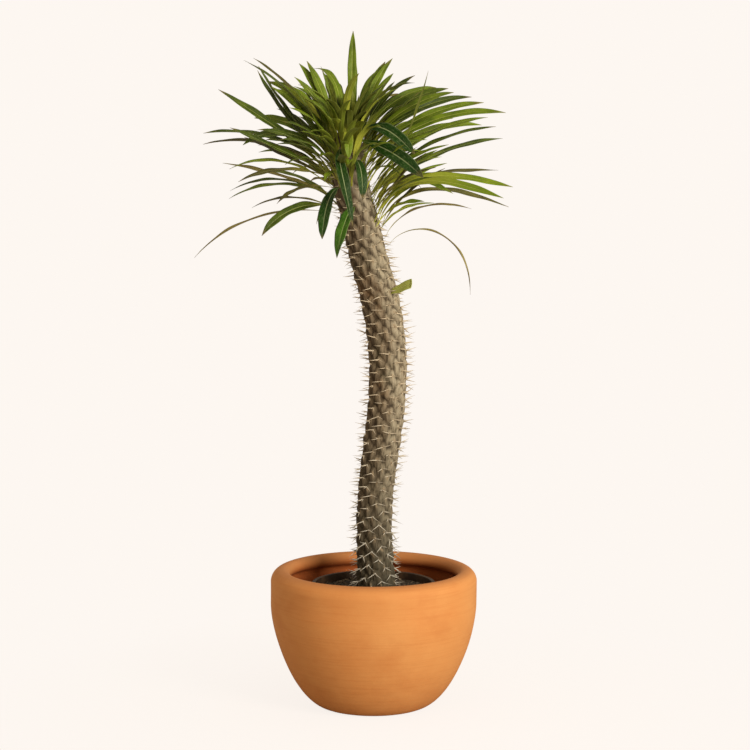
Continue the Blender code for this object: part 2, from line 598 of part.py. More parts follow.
def make_cut_leaf_stub():
    """The base of an old leaf that was cut off square."""
    standoff = 0.5 * TUBERCLE_HEIGHT + LEAF_THICKNESS + SEAT_GAP
    share, line, side, up = leaf_frames(STUB_HEIGHT * STEM_SCALE, STUB_HEADING, STUB_RISE, 0.0, 1.0,
                                        STUB_LENGTH, 0.0, STUB_ROLL, standoff, steps=STUB_STEPS)
    bm = bmesh.new()
    loops = []
    for step in range(len(share)):
        opened = min(1.0, share[step] / STUB_FULL_AT)
        half = 0.5 * STUB_WIDTH * (STUB_BASE_SHARE + (1.0 - STUB_BASE_SHARE) * opened)
        lift = LEAF_FOLD * 2 * half
        thick = 0.5 * LEAF_THICKNESS
        corners = (line[step] + side[step] * half + up[step] * (lift + thick),
                   line[step] + up[step] * thick,
                   line[step] - side[step] * half + up[step] * (lift + thick),
                   line[step] - side[step] * half + up[step] * (lift - thick),
                   line[step] - up[step] * thick,
                   line[step] + side[step] * half + up[step] * (lift - thick))
        loops.append([bm.verts.new(corner) for corner in corners])
    bm.faces.new(loops[0])
    bm.faces.new(loops[-1])
    join_blade(bm, loops)
    return add_object("cut_leaf_stub", bm, PALE_GREEN)


def main():
    """Build the whole plant, from the pot up."""
    clear_scene()
    make_terracotta_pot()
    make_nursery_pot()
    make_soil()
    stem = make_stem()
    make_cut_leaf_stub()
    make_leaves(stem)


main()
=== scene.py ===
"""Looks of the potted pachypodium: bowl pot, nursery pot, soil, spiny stem and crown of leaves.

Everything is in metres in the frame of the CAD model, with +Z up and the front towards -Y. Each class
builds one sub-assembly as surfaces worked out with numpy, and each finish is a small frozen dataclass.
"""

from __future__ import annotations

import logging
import math
from dataclasses import dataclass, field
from enum import Enum

import bpy
import numpy as np
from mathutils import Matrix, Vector
from mathutils.bvhtree import BVHTree

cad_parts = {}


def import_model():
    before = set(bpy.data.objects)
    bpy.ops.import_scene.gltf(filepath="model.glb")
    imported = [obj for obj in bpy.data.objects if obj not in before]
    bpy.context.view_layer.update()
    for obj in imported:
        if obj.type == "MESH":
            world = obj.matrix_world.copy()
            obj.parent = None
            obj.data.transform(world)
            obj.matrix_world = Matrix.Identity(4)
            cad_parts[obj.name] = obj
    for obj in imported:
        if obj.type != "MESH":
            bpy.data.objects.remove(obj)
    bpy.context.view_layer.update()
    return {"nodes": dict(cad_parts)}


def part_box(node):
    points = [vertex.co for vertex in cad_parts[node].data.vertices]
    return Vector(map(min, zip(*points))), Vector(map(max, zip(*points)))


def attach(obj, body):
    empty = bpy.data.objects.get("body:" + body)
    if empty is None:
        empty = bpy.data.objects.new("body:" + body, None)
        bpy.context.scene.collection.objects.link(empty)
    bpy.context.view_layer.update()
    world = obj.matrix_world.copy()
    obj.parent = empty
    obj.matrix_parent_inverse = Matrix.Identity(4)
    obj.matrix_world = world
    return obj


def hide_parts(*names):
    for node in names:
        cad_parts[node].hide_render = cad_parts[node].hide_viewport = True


log = logging.getLogger("pachypodium")

Array = np.ndarray
Colour = tuple[float, float, float]

GOLDEN_TURN = math.radians(137.508)
BODY = "root"


# ---- Arithmetic on arrays ----------------------------------------------------------------------


def unit(vectors: Array) -> Array:
    """Vectors of length one.

    Args:
        vectors: directions in the last axis.

    Returns:
        The same directions with length one.
    """
    return vectors / np.maximum(np.linalg.norm(vectors, axis=-1, keepdims=True), 1e-12)


def smooth_step(value: Array, low: float, high: float) -> Array:
    """A smooth climb from 0 at low to 1 at high: 3t^2 - 2t^3.

    Args:
        value: numbers to map.
        low: where the climb starts.
        high: where it ends.

    Returns:
        Numbers from 0 to 1.
    """
    share = np.clip((value - low) / (high - low), 0.0, 1.0)
    return share * share * (3.0 - 2.0 * share)


def ripples(points: Array, size: float, seed: int, waves: int = 14) -> Array:
    """Smooth random relief: a sum of sine waves in random directions, about one wide in all.

    Args:
        points: places, with x, y and z in the last axis.
        size: typical width of a bump in metres.
        seed: picks the pattern.
        waves: how many sine waves are added.

    Returns:
        A number for each place, mostly between -1 and 1.
    """
    draw = np.random.default_rng(seed)
    directions = unit(draw.normal(size=(waves, 3)))
    lengths = size * draw.uniform(0.6, 1.9, waves)
    phases = draw.uniform(0.0, 2.0 * math.pi, waves)
    angle = points @ (directions * (2.0 * math.pi / lengths)[:, None]).T + phases
    return np.sin(angle).sum(axis=-1) / math.sqrt(waves / 2.0) * 0.5


def through_points(knots: Array, values: Array, wanted: Array) -> Array:
    """A smooth curve through values: a cubic between neighbours, with slopes from both sides.

    Args:
        knots: rising parameter of each value.
        values: one row for each knot.
        wanted: parameters to read the curve at.

    Returns:
        One row for each wanted parameter.
    """
    index = np.clip(np.searchsorted(knots, wanted, side="right") - 1, 0, len(knots) - 2)
    span = knots[index + 1] - knots[index]
    share = ((wanted - knots[index]) / span)[:, None]
    slopes = np.gradient(values, knots, axis=0)
    leave = slopes[index] * span[:, None]
    arrive = slopes[index + 1] * span[:, None]
    return (values[index] * (1 + 2 * share) * (1 - share) ** 2 + leave * share * (1 - share) ** 2
            + values[index + 1] * share ** 2 * (3 - 2 * share) + arrive * share ** 2 * (share - 1))


def node_points(node: bpy.types.Object) -> Array:
    """The vertices of a CAD node, in metres.

    Args:
        node: the CAD node's object.

    Returns:
        One row of x, y, z for each vertex.
    """
    flat = np.zeros(len(node.data.vertices) * 3)
    node.data.vertices.foreach_get("co", flat)
    return flat.reshape(-1, 3)


# ---- Meshes ------------------------------------------------------------------------------------


def mesh_object(name: str, points: Array, quads: Array, triangles: Array,
                numbers: dict[str, Array] | None = None) -> bpy.types.Object:
    """A smooth-shaded object from arrays.

    Args:
        name: the piece's name.
        points: one row for each vertex.
        quads: rows of four vertex numbers.
        triangles: rows of three vertex numbers.
        numbers: a named number for each vertex, which materials read as attributes.

    Returns:
        The new object, linked to the scene.
    """
    quads = np.asarray(quads, dtype=np.int32).reshape(-1, 4)
    triangles = np.asarray(triangles, dtype=np.int32).reshape(-1, 3)
    corners = np.concatenate([quads.ravel(), triangles.ravel()])
    starts = np.concatenate([np.arange(len(quads)) * 4, len(quads) * 4 + np.arange(len(triangles)) * 3])
    mesh = bpy.data.meshes.new(name)
    mesh.vertices.add(len(points))
    mesh.vertices.foreach_set("co", np.asarray(points, dtype=np.float32).ravel())
    mesh.loops.add(len(corners))
    mesh.loops.foreach_set("vertex_index", corners.astype(np.int32))
    mesh.polygons.add(len(starts))
    mesh.polygons.foreach_set("loop_start", starts.astype(np.int32))
    mesh.polygons.foreach_set("use_smooth", np.ones(len(starts), dtype=bool))
    for label, values in (numbers or {}).items():
        layer = mesh.attributes.new(label, "FLOAT", "POINT")
        layer.data.foreach_set("value", np.asarray(values, dtype=np.float32).ravel())
    mesh.update(calc_edges=True)
    mesh.validate()
    obj = bpy.data.objects.new(name, mesh)
    bpy.context.scene.collection.objects.link(obj)
    return obj


def loft(rows: Array) -> tuple[Array, Array, Array]:
    """Faces of a closed surface made of closed loops, with a pole at each end.

    The point in row i and column j joins row i + 1 and column j + 1, and the columns wrap round. Each
    end loop is closed by a fan to its mean.

    Args:
        rows: points of shape (loops, points in a loop, 3), ordered so that the faces point outwards.

    Returns:
        All the points, the quads and the triangles.
    """
    count, around, _ = rows.shape
    row = np.arange(count - 1)[:, None] * around
    column = np.arange(around)[None, :]
    after = (column + 1) % around
    quads = np.stack([row + column, row + after, row + around + after, row + around + column], axis=-1)
    poles = np.array([rows[0].mean(axis=0), rows[-1].mean(axis=0)])
    first, last = count * around, count * around + 1
    ring = np.arange(around)
    turned = (ring + 1) % around
    top = (count - 1) * around
    fans = np.concatenate([
        np.stack([np.full(around, first), turned, ring], axis=-1),
        np.stack([np.full(around, last), top + ring, top + turned], axis=-1)])
    return np.vstack([rows.reshape(-1, 3), poles]), quads.reshape(-1, 4), fans


def loft_numbers(values: Array) -> Array:
    """Numbers for the points that loft gives, with each pole as the mean of its loop.

    Args:
        values: numbers of shape (loops, points in a loop).

    Returns:
        One number for each point.
    """
    return np.concatenate([values.ravel(), [values[0].mean(), values[-1].mean()]])


def face_outwards(obj: bpy.types.Object) -> None:
    """Turn a closed mesh the right way out if its volume comes out negative.

    Args:
        obj: the piece; every one of its shells turns together.
    """
    mesh = obj.data
    mesh.calc_loop_triangles()
    points = node_points(obj)
    corners = np.zeros(len(mesh.loop_triangles) * 3, dtype=np.int32)
    mesh.loop_triangles.foreach_get("vertices", corners)
    a, b, c = (points[corners.reshape(-1, 3)[:, k]] for k in range(3))
    if np.einsum("ij,ij->i", a, np.cross(b, c)).sum() < 0.0:
        mesh.flip_normals()


def revolve(name: str, profile: Array, sides: int, wobble: float = 0.0, seed: int = 0,
            numbers: dict[str, Array] | None = None) -> bpy.types.Object:
    """A closed solid: a (radius, height) profile turned once round the Z axis.

    Each point is radius times (cos, sin) of its turn, at its height. The wobble moves it in and out by
    a smooth relief, as a hand-finished wall does.

    Args:
        name: the piece's name.
        profile: rows of radius and height, from pole to pole.
        sides: how many points go round.
        wobble: size of the relief in metres.
        seed: picks the relief.
        numbers: a named number for each profile row.

    Returns:
        The new object.
    """
    turns = np.arange(sides) * 2.0 * math.pi / sides
    radius = profile[:, 0][:, None]
    rows = np.stack([radius * np.cos(turns), radius * np.sin(turns),
                     np.repeat(profile[:, 1][:, None], sides, axis=1)], axis=-1)
    if wobble:
        relief = ripples(rows, 0.11, seed) * wobble
        rows[..., :2] *= 1.0 + (relief / np.maximum(radius, 0.02))[..., None]
    points, quads, fans = loft(rows)
    around = {key: loft_numbers(np.repeat(value[:, None], sides, axis=1))
              for key, value in (numbers or {}).items()}
    obj = mesh_object(name, points, quads, fans, around)
    face_outwards(obj)
    return obj


def arc(centre: tuple[float, float], radii: tuple[float, float], start: float, end: float,
        count: int) -> Array:
    """Points on an elliptical arc in the (radius, height) plane.

    Args:
        centre: the ellipse's centre.
        radii: its half width and half height.
        start: first angle in degrees.
        end: last angle in degrees.
        count: how many points, both ends included.

    Returns:
        Rows of radius and height.
    """
    angles = np.radians(np.linspace(start, end, count))
    return np.stack([centre[0] + radii[0] * np.cos(angles), centre[1] + radii[1] * np.sin(angles)], axis=1)


def dress(obj: bpy.types.Object, material: bpy.types.Material, slot: str, *nodes: str) -> bpy.types.Object:
    """Give a piece its material and its body, and hide the CAD nodes that it stands for.

    Args:
        obj: the piece.
        material: its finish.
        slot: the record's material slot; not used.
        nodes: names of CAD nodes that it replaces.

    Returns:
        The same piece.
    """
    obj.data.materials.clear()
    obj.data.materials.append(material)
    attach(obj, BODY)
    if nodes:
        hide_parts(*nodes)
    log.info("%s: %d faces", obj.name, len(obj.data.polygons))
    return obj


# ---- Finishes ----------------------------------------------------------------------------------


class Graph:
    """A short way to write a material's nodes."""

    def __init__(self, name: str) -> None:
        """Start a material with only its Principled shader.

        Args:
            name: the material's name.
        """
        self.material = bpy.data.materials.new(name)
        self.material.use_nodes = True
        self.tree = self.material.node_tree
        self.shader = self.tree.nodes["Principled BSDF"]

    def node(self, kind: str, **settings: object) -> bpy.types.Node:
        """Add a node.

        Args:
            kind: the node's type, without the ShaderNode prefix.
            settings: its properties.

        Returns:
            The node.
        """
        made = self.tree.nodes.new("ShaderNode" + kind)
        for key, value in settings.items():
            setattr(made, key, value)
        return made

    def feed(self, socket: bpy.types.NodeSocket, value: object) -> None:
        """Link a socket to another node's output, or set it to a plain value.

        Args:
            socket: the input.
            value: an output socket, a number, or a colour.
        """
        if isinstance(value, bpy.types.NodeSocket):
            self.tree.links.new(value, socket)
        elif isinstance(value, tuple) and len(value) == 3 and socket.type == "RGBA":
            socket.default_value = (*value, 1.0)
        else:
            socket.default_value = value

    def place(self, scale: tuple[float, float, float] = (1.0, 1.0, 1.0)) -> bpy.types.NodeSocket:
        """Object coordinates, stretched.

        Args:
            scale: factor along each axis.

        Returns:
            The vector.
        """
        coordinates = self.node("TexCoord")
        mapping = self.node("Mapping")
        mapping.inputs["Scale"].default_value = scale
        self.feed(mapping.inputs["Vector"], coordinates.outputs["Object"])
        return mapping.outputs["Vector"]

    def number(self, label: str) -> bpy.types.NodeSocket:
        """A number that the mesh holds for each vertex.

        Args:
            label: the attribute's name.

        Returns:
            The number.
        """
        return self.node("Attribute", attribute_name=label).outputs["Fac"]

    def noise(self, vector: bpy.types.NodeSocket, scale: float, detail: float = 4.0,
              roughness: float = 0.55) -> bpy.types.NodeSocket:
        """Fractal noise from 0 to 1.

        Args:
            vector: where it is read.
            scale: features per metre.
            detail: octaves.
            roughness: how strong the small octaves are.

        Returns:
            The value.
        """
        made = self.node("TexNoise")
        self.feed(made.inputs["Vector"], vector)
        made.inputs["Scale"].default_value = scale
        made.inputs["Detail"].default_value = detail
        made.inputs["Roughness"].default_value = roughness
        return made.outputs["Fac"]

    def remap(self, value: bpy.types.NodeSocket, low: float, high: float, to_low: float = 0.0,
              to_high: float = 1.0) -> bpy.types.NodeSocket:
        """Map a range to another, held at its ends.

        Args:
            value: the input.
            low: input that gives to_low.
            high: input that gives to_high.
            to_low: first output.
            to_high: last output.

        Returns:
            The mapped value.
        """
        made = self.node("MapRange")
        self.feed(made.inputs["Value"], value)
        for label, number in (("From Min", low), ("From Max", high), ("To Min", to_low), ("To Max", to_high)):
            made.inputs[label].default_value = number
        return made.outputs["Result"]

    def math(self, operation: str, a: object, b: object = 0.0) -> bpy.types.NodeSocket:
        """Arithmetic on two values.

        Args:
            operation: a Math node operation.
            a: the first value.
            b: the second value.

        Returns:
            The result.
        """
        made = self.node("Math", operation=operation)
        self.feed(made.inputs[0], a)
        self.feed(made.inputs[1], b)
        return made.outputs[0]

    def mix(self, share: object, a: object, b: object, how: str = "MIX") -> bpy.types.NodeSocket:
        """Mix two colours.

        Args:
            share: from 0 for a to 1 for b.
            a: the first colour.
            b: the second colour.
            how: the blend.

        Returns:
            The colour.
        """
        made = self.node("Mix", data_type="RGBA", blend_type=how)
        self.feed(made.inputs[0], share)
        self.feed(made.inputs[6], a)
        self.feed(made.inputs[7], b)
        return made.outputs[2]

    def bump(self, height: bpy.types.NodeSocket, distance: float, strength: float = 1.0) -> None:
        """Bump the shader's surface, on top of any bump it has.

        Args:
            height: relief from 0 to 1.
            distance: what a height of 1 is in metres.
            strength: how much of it shows.
        """
        made = self.node("Bump")
        made.inputs["Distance"].default_value = distance
        made.inputs["Strength"].default_value = strength
        self.feed(made.inputs["Height"], height)
        normal = self.shader.inputs["Normal"]
        if normal.links:
            self.feed(made.inputs["Normal"], normal.links[0].from_socket)
        self.feed(normal, made.outputs["Normal"])

    def finish(self, colour: object, roughness: object, **constants: float) -> bpy.types.Material:
        """Connect colour and roughness, and set the shader's constant values.

        Args:
            colour: base colour.
            roughness: roughness.
            constants: Principled inputs by name, with _ for a space.

        Returns:
            The material.
        """
        self.feed(self.shader.inputs["Base Color"], colour)
        self.feed(self.shader.inputs["Roughness"], roughness)
        for label, value in constants.items():
            self.shader.inputs[label.replace("_", " ")].default_value = value
        return self.material


@dataclass(frozen=True)
class FiredClay:
    """Unglazed terracotta: cloudy orange body, throwing lines, pale dust, a duller lip and painted shade inside
    the pot.
    """

    name: str = "terracotta"
    body: Colour = (0.660, 0.266, 0.074)
    deep: Colour = (0.50, 0.150, 0.032)
    bloom: Colour = (0.73, 0.345, 0.112)
    dull: Colour = (0.50, 0.205, 0.070)
    shaded: Colour = (0.34, 0.070, 0.012)
    cloud_scale: float = 6.0
    line_scale: float = 420.0

    def material(self) -> bpy.types.Material:
        """Build the material.

        Returns:
            The terracotta.
        """
        g = Graph(self.name)
        place = g.place()
        clouds = g.noise(place, self.cloud_scale, 5.0, 0.6)
        drifts = g.noise(g.place((1.0, 1.0, 1.5)), self.cloud_scale * 1.8, 4.0, 0.6)
        grain = g.noise(place, 900.0, 3.0, 0.7)
        colour = g.mix(g.remap(clouds, 0.35, 0.70), self.body, self.bloom)
        colour = g.mix(g.remap(drifts, 0.48, 0.78, 0.0, 0.46), colour, self.deep)
        colour = g.mix(g.remap(g.number("lip"), 0.0, 1.0, 0.0, 0.72), colour, self.dull)
        # Painted shade: the inside of the pot is darkened towards the shaded colour.
        colour = g.mix(g.remap(g.number("inside"), 0.0, 1.0, 0.0, 0.90), colour, self.shaded)
        specks = g.noise(place, 260.0, 2.0, 0.5)
        colour = g.mix(g.remap(specks, 0.68, 0.78, 0.0, 0.35), colour, self.bloom)
        colour = g.mix(g.remap(grain, 0.30, 0.75, 0.0, 0.16), colour, self.deep)
        rings = g.noise(g.place((0.03, 0.03, 1.0)), self.line_scale, 2.0, 0.5)
        colour = g.mix(g.remap(rings, 0.50, 0.74, 0.0, 0.20), colour, self.deep)
        g.bump(rings, 0.00030, 0.75)
        g.bump(g.noise(place, 60.0, 4.0, 0.6), 0.0006, 0.45)
        g.bump(grain, 0.00012, 0.6)
        return g.finish(colour, g.remap(clouds, 0.3, 0.7, 0.72, 0.86), Specular_IOR_Level=0.32)


@dataclass(frozen=True)
class NurseryPlastic:
    """Thin black moulded plastic, scuffed and dusted with dried compost."""

    name: str = "nursery_plastic"
    body: Colour = (0.022, 0.011, 0.006)
    dust: Colour = (0.105, 0.056, 0.024)

    def material(self) -> bpy.types.Material:
        """Build the material.

        Returns:
            The plastic.
        """
        g = Graph(self.name)
        place = g.place()
        dust = g.noise(place, 34.0, 6.0, 0.65)
        colour = g.mix(g.remap(dust, 0.46, 0.78), self.body, self.dust)
        g.bump(g.noise(place, 320.0, 3.0, 0.6), 0.00012, 0.7)
        return g.finish(colour, g.remap(dust, 0.35, 0.7, 0.38, 0.68), Specular_IOR_Level=0.28)


@dataclass(frozen=True)
class Compost:
    """Dark potting compost with grey-olive crumbs."""

    name: str = "potting_soil"
    wet: Colour = (0.014, 0.010, 0.007)
    dry: Colour = (0.085, 0.066, 0.042)
    crumb: Colour = (0.16, 0.14, 0.095)

    def material(self) -> bpy.types.Material:
        """Build the material.

        Returns:
            The compost.
        """
        g = Graph(self.name)
        place = g.place()
        patches = g.noise(place, 55.0, 6.0, 0.7)
        crumbs = g.noise(place, 420.0, 4.0, 0.7)
        colour = g.mix(g.remap(patches, 0.40, 0.68), self.wet, self.dry)
        colour = g.mix(g.remap(crumbs, 0.58, 0.74, 0.0, 0.8), colour, self.crumb)
        g.bump(crumbs, 0.0016, 1.0)
        g.bump(patches, 0.003, 0.6)
        return g.finish(colour, g.remap(crumbs, 0.3, 0.7, 0.80, 0.98), Specular_IOR_Level=0.25)


@dataclass(frozen=True)
class Chips:
    """Loose bits on the compost: bark, grit and dry fibre, each bit in its own shade."""

    name: str = "soil_bits"
    dark: Colour = (0.040, 0.026, 0.016)
    light: Colour = (0.27, 0.21, 0.14)

    def material(self) -> bpy.types.Material:
        """Build the material.

        Returns:
            The chips.
        """
        g = Graph(self.name)
        grain = g.noise(g.place(), 700.0, 4.0, 0.7)
        colour = g.mix(g.number("shade"), self.dark, self.light)
        colour = g.mix(g.remap(grain, 0.3, 0.7, 0.0, 0.5), colour, self.dark)
        g.bump(grain, 0.0006, 0.8)
        return g.finish(colour, g.remap(grain, 0.3, 0.7, 0.7, 0.95), Specular_IOR_Level=0.3)


@dataclass(frozen=True)
class Bark:
    """Grey-brown succulent bark: painted shade in the pits, pale ridges that are partly wear and partly painted
    highlight, warm and green patches, painted highlight on the side towards the key light and painted shade on
    the side away from it, darker towards the soil.
    """

    name: str = "stem_bark"
    # pit is painted shade for the hollows between tubercles, and also the colour of the cracks.
    pit: Colour = (0.030, 0.018, 0.008)
    flank: Colour = (0.105, 0.074, 0.042)
    ridge: Colour = (0.250, 0.196, 0.128)
    areole: Colour = (0.330, 0.245, 0.150)
    painted_highlight: Colour = (0.440, 0.384, 0.272)
    painted_shade_side: Colour = (0.050, 0.026, 0.009)
    warm: Colour = (0.235, 0.120, 0.044)
    moss: Colour = (0.062, 0.056, 0.022)
    base: Colour = (0.032, 0.029, 0.016)

    def material(self) -> bpy.types.Material:
        """Build the material.

        Returns:
            The bark.
        """
        g = Graph(self.name)
        place = g.place()
        streaks = g.noise(g.place((1.0, 1.0, 0.16)), 420.0, 5.0, 0.65)
        patches = g.noise(place, 26.0, 4.0, 0.6)
        stains = g.noise(g.place((1.0, 1.0, 0.5)), 48.0, 4.0, 0.6)
        relief = g.number("relief")
        relief_and_wear = g.math("ADD", relief, g.remap(streaks, 0.3, 0.7, -0.24, 0.24))
        # Painted shade: the lower the relief, the darker the bark, so the hollows between tubercles look
        # shaded; the pale ridges are partly wear and partly painted highlight.
        colour = g.mix(g.remap(relief_and_wear, 0.06, 0.42), self.pit, self.flank)
        colour = g.mix(g.remap(relief_and_wear, 0.36, 0.92), colour, self.ridge)
        colour = g.mix(g.remap(stains, 0.50, 0.76, 0.0, 0.55), colour, self.moss)
        colour = g.mix(g.remap(patches, 0.54, 0.78, 0.0, 0.50), colour, self.warm)
        # Painted light and shade: this mask is how squarely the bark faces the key light; below, the side away
        # from the light is darkened as painted shade, and the ridges on the side towards it are lightened as
        # painted highlight.
        lit_side = g.math("ADD", g.number("lit_side"), g.remap(stains, 0.3, 0.7, -0.22, 0.22))
        colour = g.mix(g.remap(lit_side, 0.30, -0.60, 0.0, 0.52), colour, self.painted_shade_side)
        painted_highlight_mask = g.math("MULTIPLY", g.remap(lit_side, 0.50, 0.95, 0.0, 0.90), g.remap(relief_and_wear, 0.16, 0.78, 0.12, 1.0))
        colour = g.mix(painted_highlight_mask, colour, self.painted_highlight)
        cracks = g.noise(g.place((1.0, 1.0, 0.09)), 560.0, 3.0, 0.6)
        colour = g.mix(g.remap(cracks, 0.47, 0.30, 0.0, 0.70), colour, self.pit)
        g.bump(cracks, 0.0014, 0.8)
        colour = g.mix(g.remap(g.number("rise"), 0.0, 0.28, 0.92, 0.0), colour, self.base)
        colour = g.mix(g.remap(streaks, 0.50, 0.74, 0.0, 0.34), colour, self.ridge)
        colour = g.mix(g.remap(relief, 0.88, 0.99, 0.0, 0.7), colour, self.areole)
        g.bump(streaks, 0.0009, 0.8)
        g.bump(g.noise(place, 900.0, 3.0, 0.7), 0.0003, 0.7)
        return g.finish(colour, g.remap(streaks, 0.3, 0.7, 0.66, 0.9), Specular_IOR_Level=0.28)


@dataclass(frozen=True)
class SpineHorn:
    """Spines: chalky cream, browner at the tip, greyer near the soil."""

    name: str = "spine_horn"
    cream: Colour = (0.68, 0.58, 0.42)
    tip: Colour = (0.24, 0.14, 0.07)
    grey: Colour = (0.60, 0.58, 0.50)

    def material(self) -> bpy.types.Material:
        """Build the material.

        Returns:
            The spine finish.
        """
        g = Graph(self.name)
        grain = g.noise(g.place(), 800.0, 3.0, 0.6)
        along = g.number("along")
        colour = g.mix(g.remap(g.number("rise"), 0.05, 0.30, 1.0, 0.0), self.cream, self.grey)
        colour = g.mix(g.remap(along, 0.60, 1.0, 0.0, 0.65), colour, self.tip)
        colour = g.mix(g.remap(grain, 0.5, 0.8, 0.0, 0.4), colour, self.tip)
        g.bump(grain, 0.0002, 0.5)
        return g.finish(colour, g.remap(grain, 0.3, 0.7, 0.45, 0.65), Specular_IOR_Level=0.4)


@dataclass(frozen=True)
class LeafSkin:
    """A waxy leaf: pale midrib, fine long veins, yellow-green base, olive underside, dry tip."""

    name: str
    blade: Colour
    deep: Colour
    petiole: Colour
    rib: Colour
    under: Colour
    dry: Colour = (0.30, 0.20, 0.085)
    gloss: float = 0.38
    tip_dryness: float = 0.5
    petiole_reach: float = 0.40
    shine: float = 0.27

    def material(self) -> bpy.types.Material:
        """Build the material.

        Returns:
            The leaf finish.
        """
        g = Graph(self.name)
        across = g.number("across")
        along = g.number("along")
        tone = g.number("tone")
        position = g.node("CombineXYZ")
        g.feed(position.inputs["X"], g.math("MULTIPLY", across, 0.9))
        g.feed(position.inputs["Y"], g.math("MULTIPLY", along, 1.6))
        g.feed(position.inputs["Z"], g.math("MULTIPLY", tone, 17.0))
        veins = g.noise(position.outputs["Vector"], 16.0, 3.0, 0.6)
        clouds = g.noise(g.place(), 42.0, 4.0, 0.6)
        away = g.math("ABSOLUTE", across)
        colour = g.mix(g.remap(clouds, 0.34, 0.68), self.blade, self.deep)
        colour = g.mix(g.remap(tone, 0.0, 1.0, 0.0, 0.75), colour, self.deep)
        colour = g.mix(g.remap(veins, 0.52, 0.72, 0.0, 0.30), colour, self.rib)
        colour = g.mix(g.remap(g.number("under"), 0.3, 0.7), colour, self.under)
        rib = g.math("MULTIPLY", g.remap(away, 0.10, 0.02), g.remap(along, 0.97, 0.55, 0.15, 0.85))
        colour = g.mix(rib, colour, self.rib)
        colour = g.mix(g.remap(away, 0.86, 1.0, 0.0, 0.40), colour, self.rib)
        colour = g.mix(g.remap(along, self.petiole_reach, 0.25 * self.petiole_reach, 0.0, 0.85), colour,
                       self.petiole)
        browned = g.math("ADD", along, g.remap(clouds, 0.3, 0.7, -0.05, 0.05))
        colour = g.mix(g.remap(browned, 0.93, 1.0, 0.0, self.tip_dryness), colour, self.dry)
        g.bump(veins, 0.0007, 0.6)
        g.bump(g.remap(away, 0.02, 0.16), 0.0006, 0.7)
        roughness = g.remap(clouds, 0.3, 0.7, self.gloss, self.gloss + 0.14)
        return g.finish(colour, roughness, Specular_IOR_Level=self.shine)


class LeafTone(Enum):
    """The kinds of leaf in the crown, by their finish."""

    FRESH = LeafSkin("leaf_fresh", (0.225, 0.325, 0.010), (0.078, 0.130, 0.004), (0.520, 0.540, 0.060),
                     (0.520, 0.590, 0.120), (0.160, 0.200, 0.018))
    MATURE = LeafSkin("leaf_mature", (0.098, 0.150, 0.007), (0.026, 0.050, 0.002), (0.430, 0.430, 0.055),
                      (0.370, 0.430, 0.095), (0.105, 0.120, 0.016))
    GREEN = LeafSkin("leaf_green", (0.075, 0.215, 0.008), (0.030, 0.105, 0.004), (0.300, 0.380, 0.040),
                     (0.420, 0.520, 0.200), (0.070, 0.130, 0.012), gloss=0.34, petiole_reach=0.25, shine=0.20)
    # This finish is the deep green of old leaves, darkened further as painted shade for the leaves that hang in
    # the crown's shadow.
    DARK_AND_SHADED = LeafSkin("leaf_dark_and_shaded", (0.018, 0.078, 0.003), (0.005, 0.028, 0.001), (0.150, 0.210, 0.020),
                    (0.400, 0.470, 0.230), (0.040, 0.080, 0.010), gloss=0.30, petiole_reach=0.22, shine=0.16)
    BRIGHT = LeafSkin("leaf_bright", (0.255, 0.345, 0.010), (0.120, 0.200, 0.005), (0.600, 0.610, 0.075),
                      (0.580, 0.640, 0.150), (0.200, 0.235, 0.020), petiole_reach=0.75)
    STRAW = LeafSkin("leaf_straw", (0.330, 0.280, 0.085), (0.210, 0.170, 0.045), (0.400, 0.370, 0.075),
                     (0.430, 0.370, 0.150), (0.240, 0.190, 0.065), gloss=0.50, tip_dryness=0.7)
    OLIVE = LeafSkin("leaf_olive", (0.130, 0.128, 0.020), (0.052, 0.050, 0.009), (0.380, 0.345, 0.060),
                     (0.300, 0.270, 0.090), (0.095, 0.080, 0.020), gloss=0.42, tip_dryness=0.6,
                     petiole_reach=0.55)
    PALE = LeafSkin("leaf_pale", (0.520, 0.570, 0.140), (0.430, 0.490, 0.100), (0.520, 0.560, 0.150),
                    (0.620, 0.660, 0.240), (0.460, 0.500, 0.130), gloss=0.50, tip_dryness=0.2)

    @property
    def slot(self) -> str:
        """The record's material slot of this kind of leaf."""
        return "cut_leaf_green" if self is LeafTone.PALE else "leaf_green"


class Finishes:
    """Every material, each made once when it is first asked for."""

    def __init__(self) -> None:
        """Start with none made."""
        self.made: dict[str, bpy.types.Material] = {}

    def of(self, finish: object) -> bpy.types.Material:
        """The material of a finish.

        Args:
            finish: a finish dataclass with a name and a material method.

        Returns:
            The material.
        """
        if finish.name not in self.made:
            self.made[finish.name] = finish.material()
        return self.made[finish.name]


# ---- Pots and soil -----------------------------------------------------------------------------


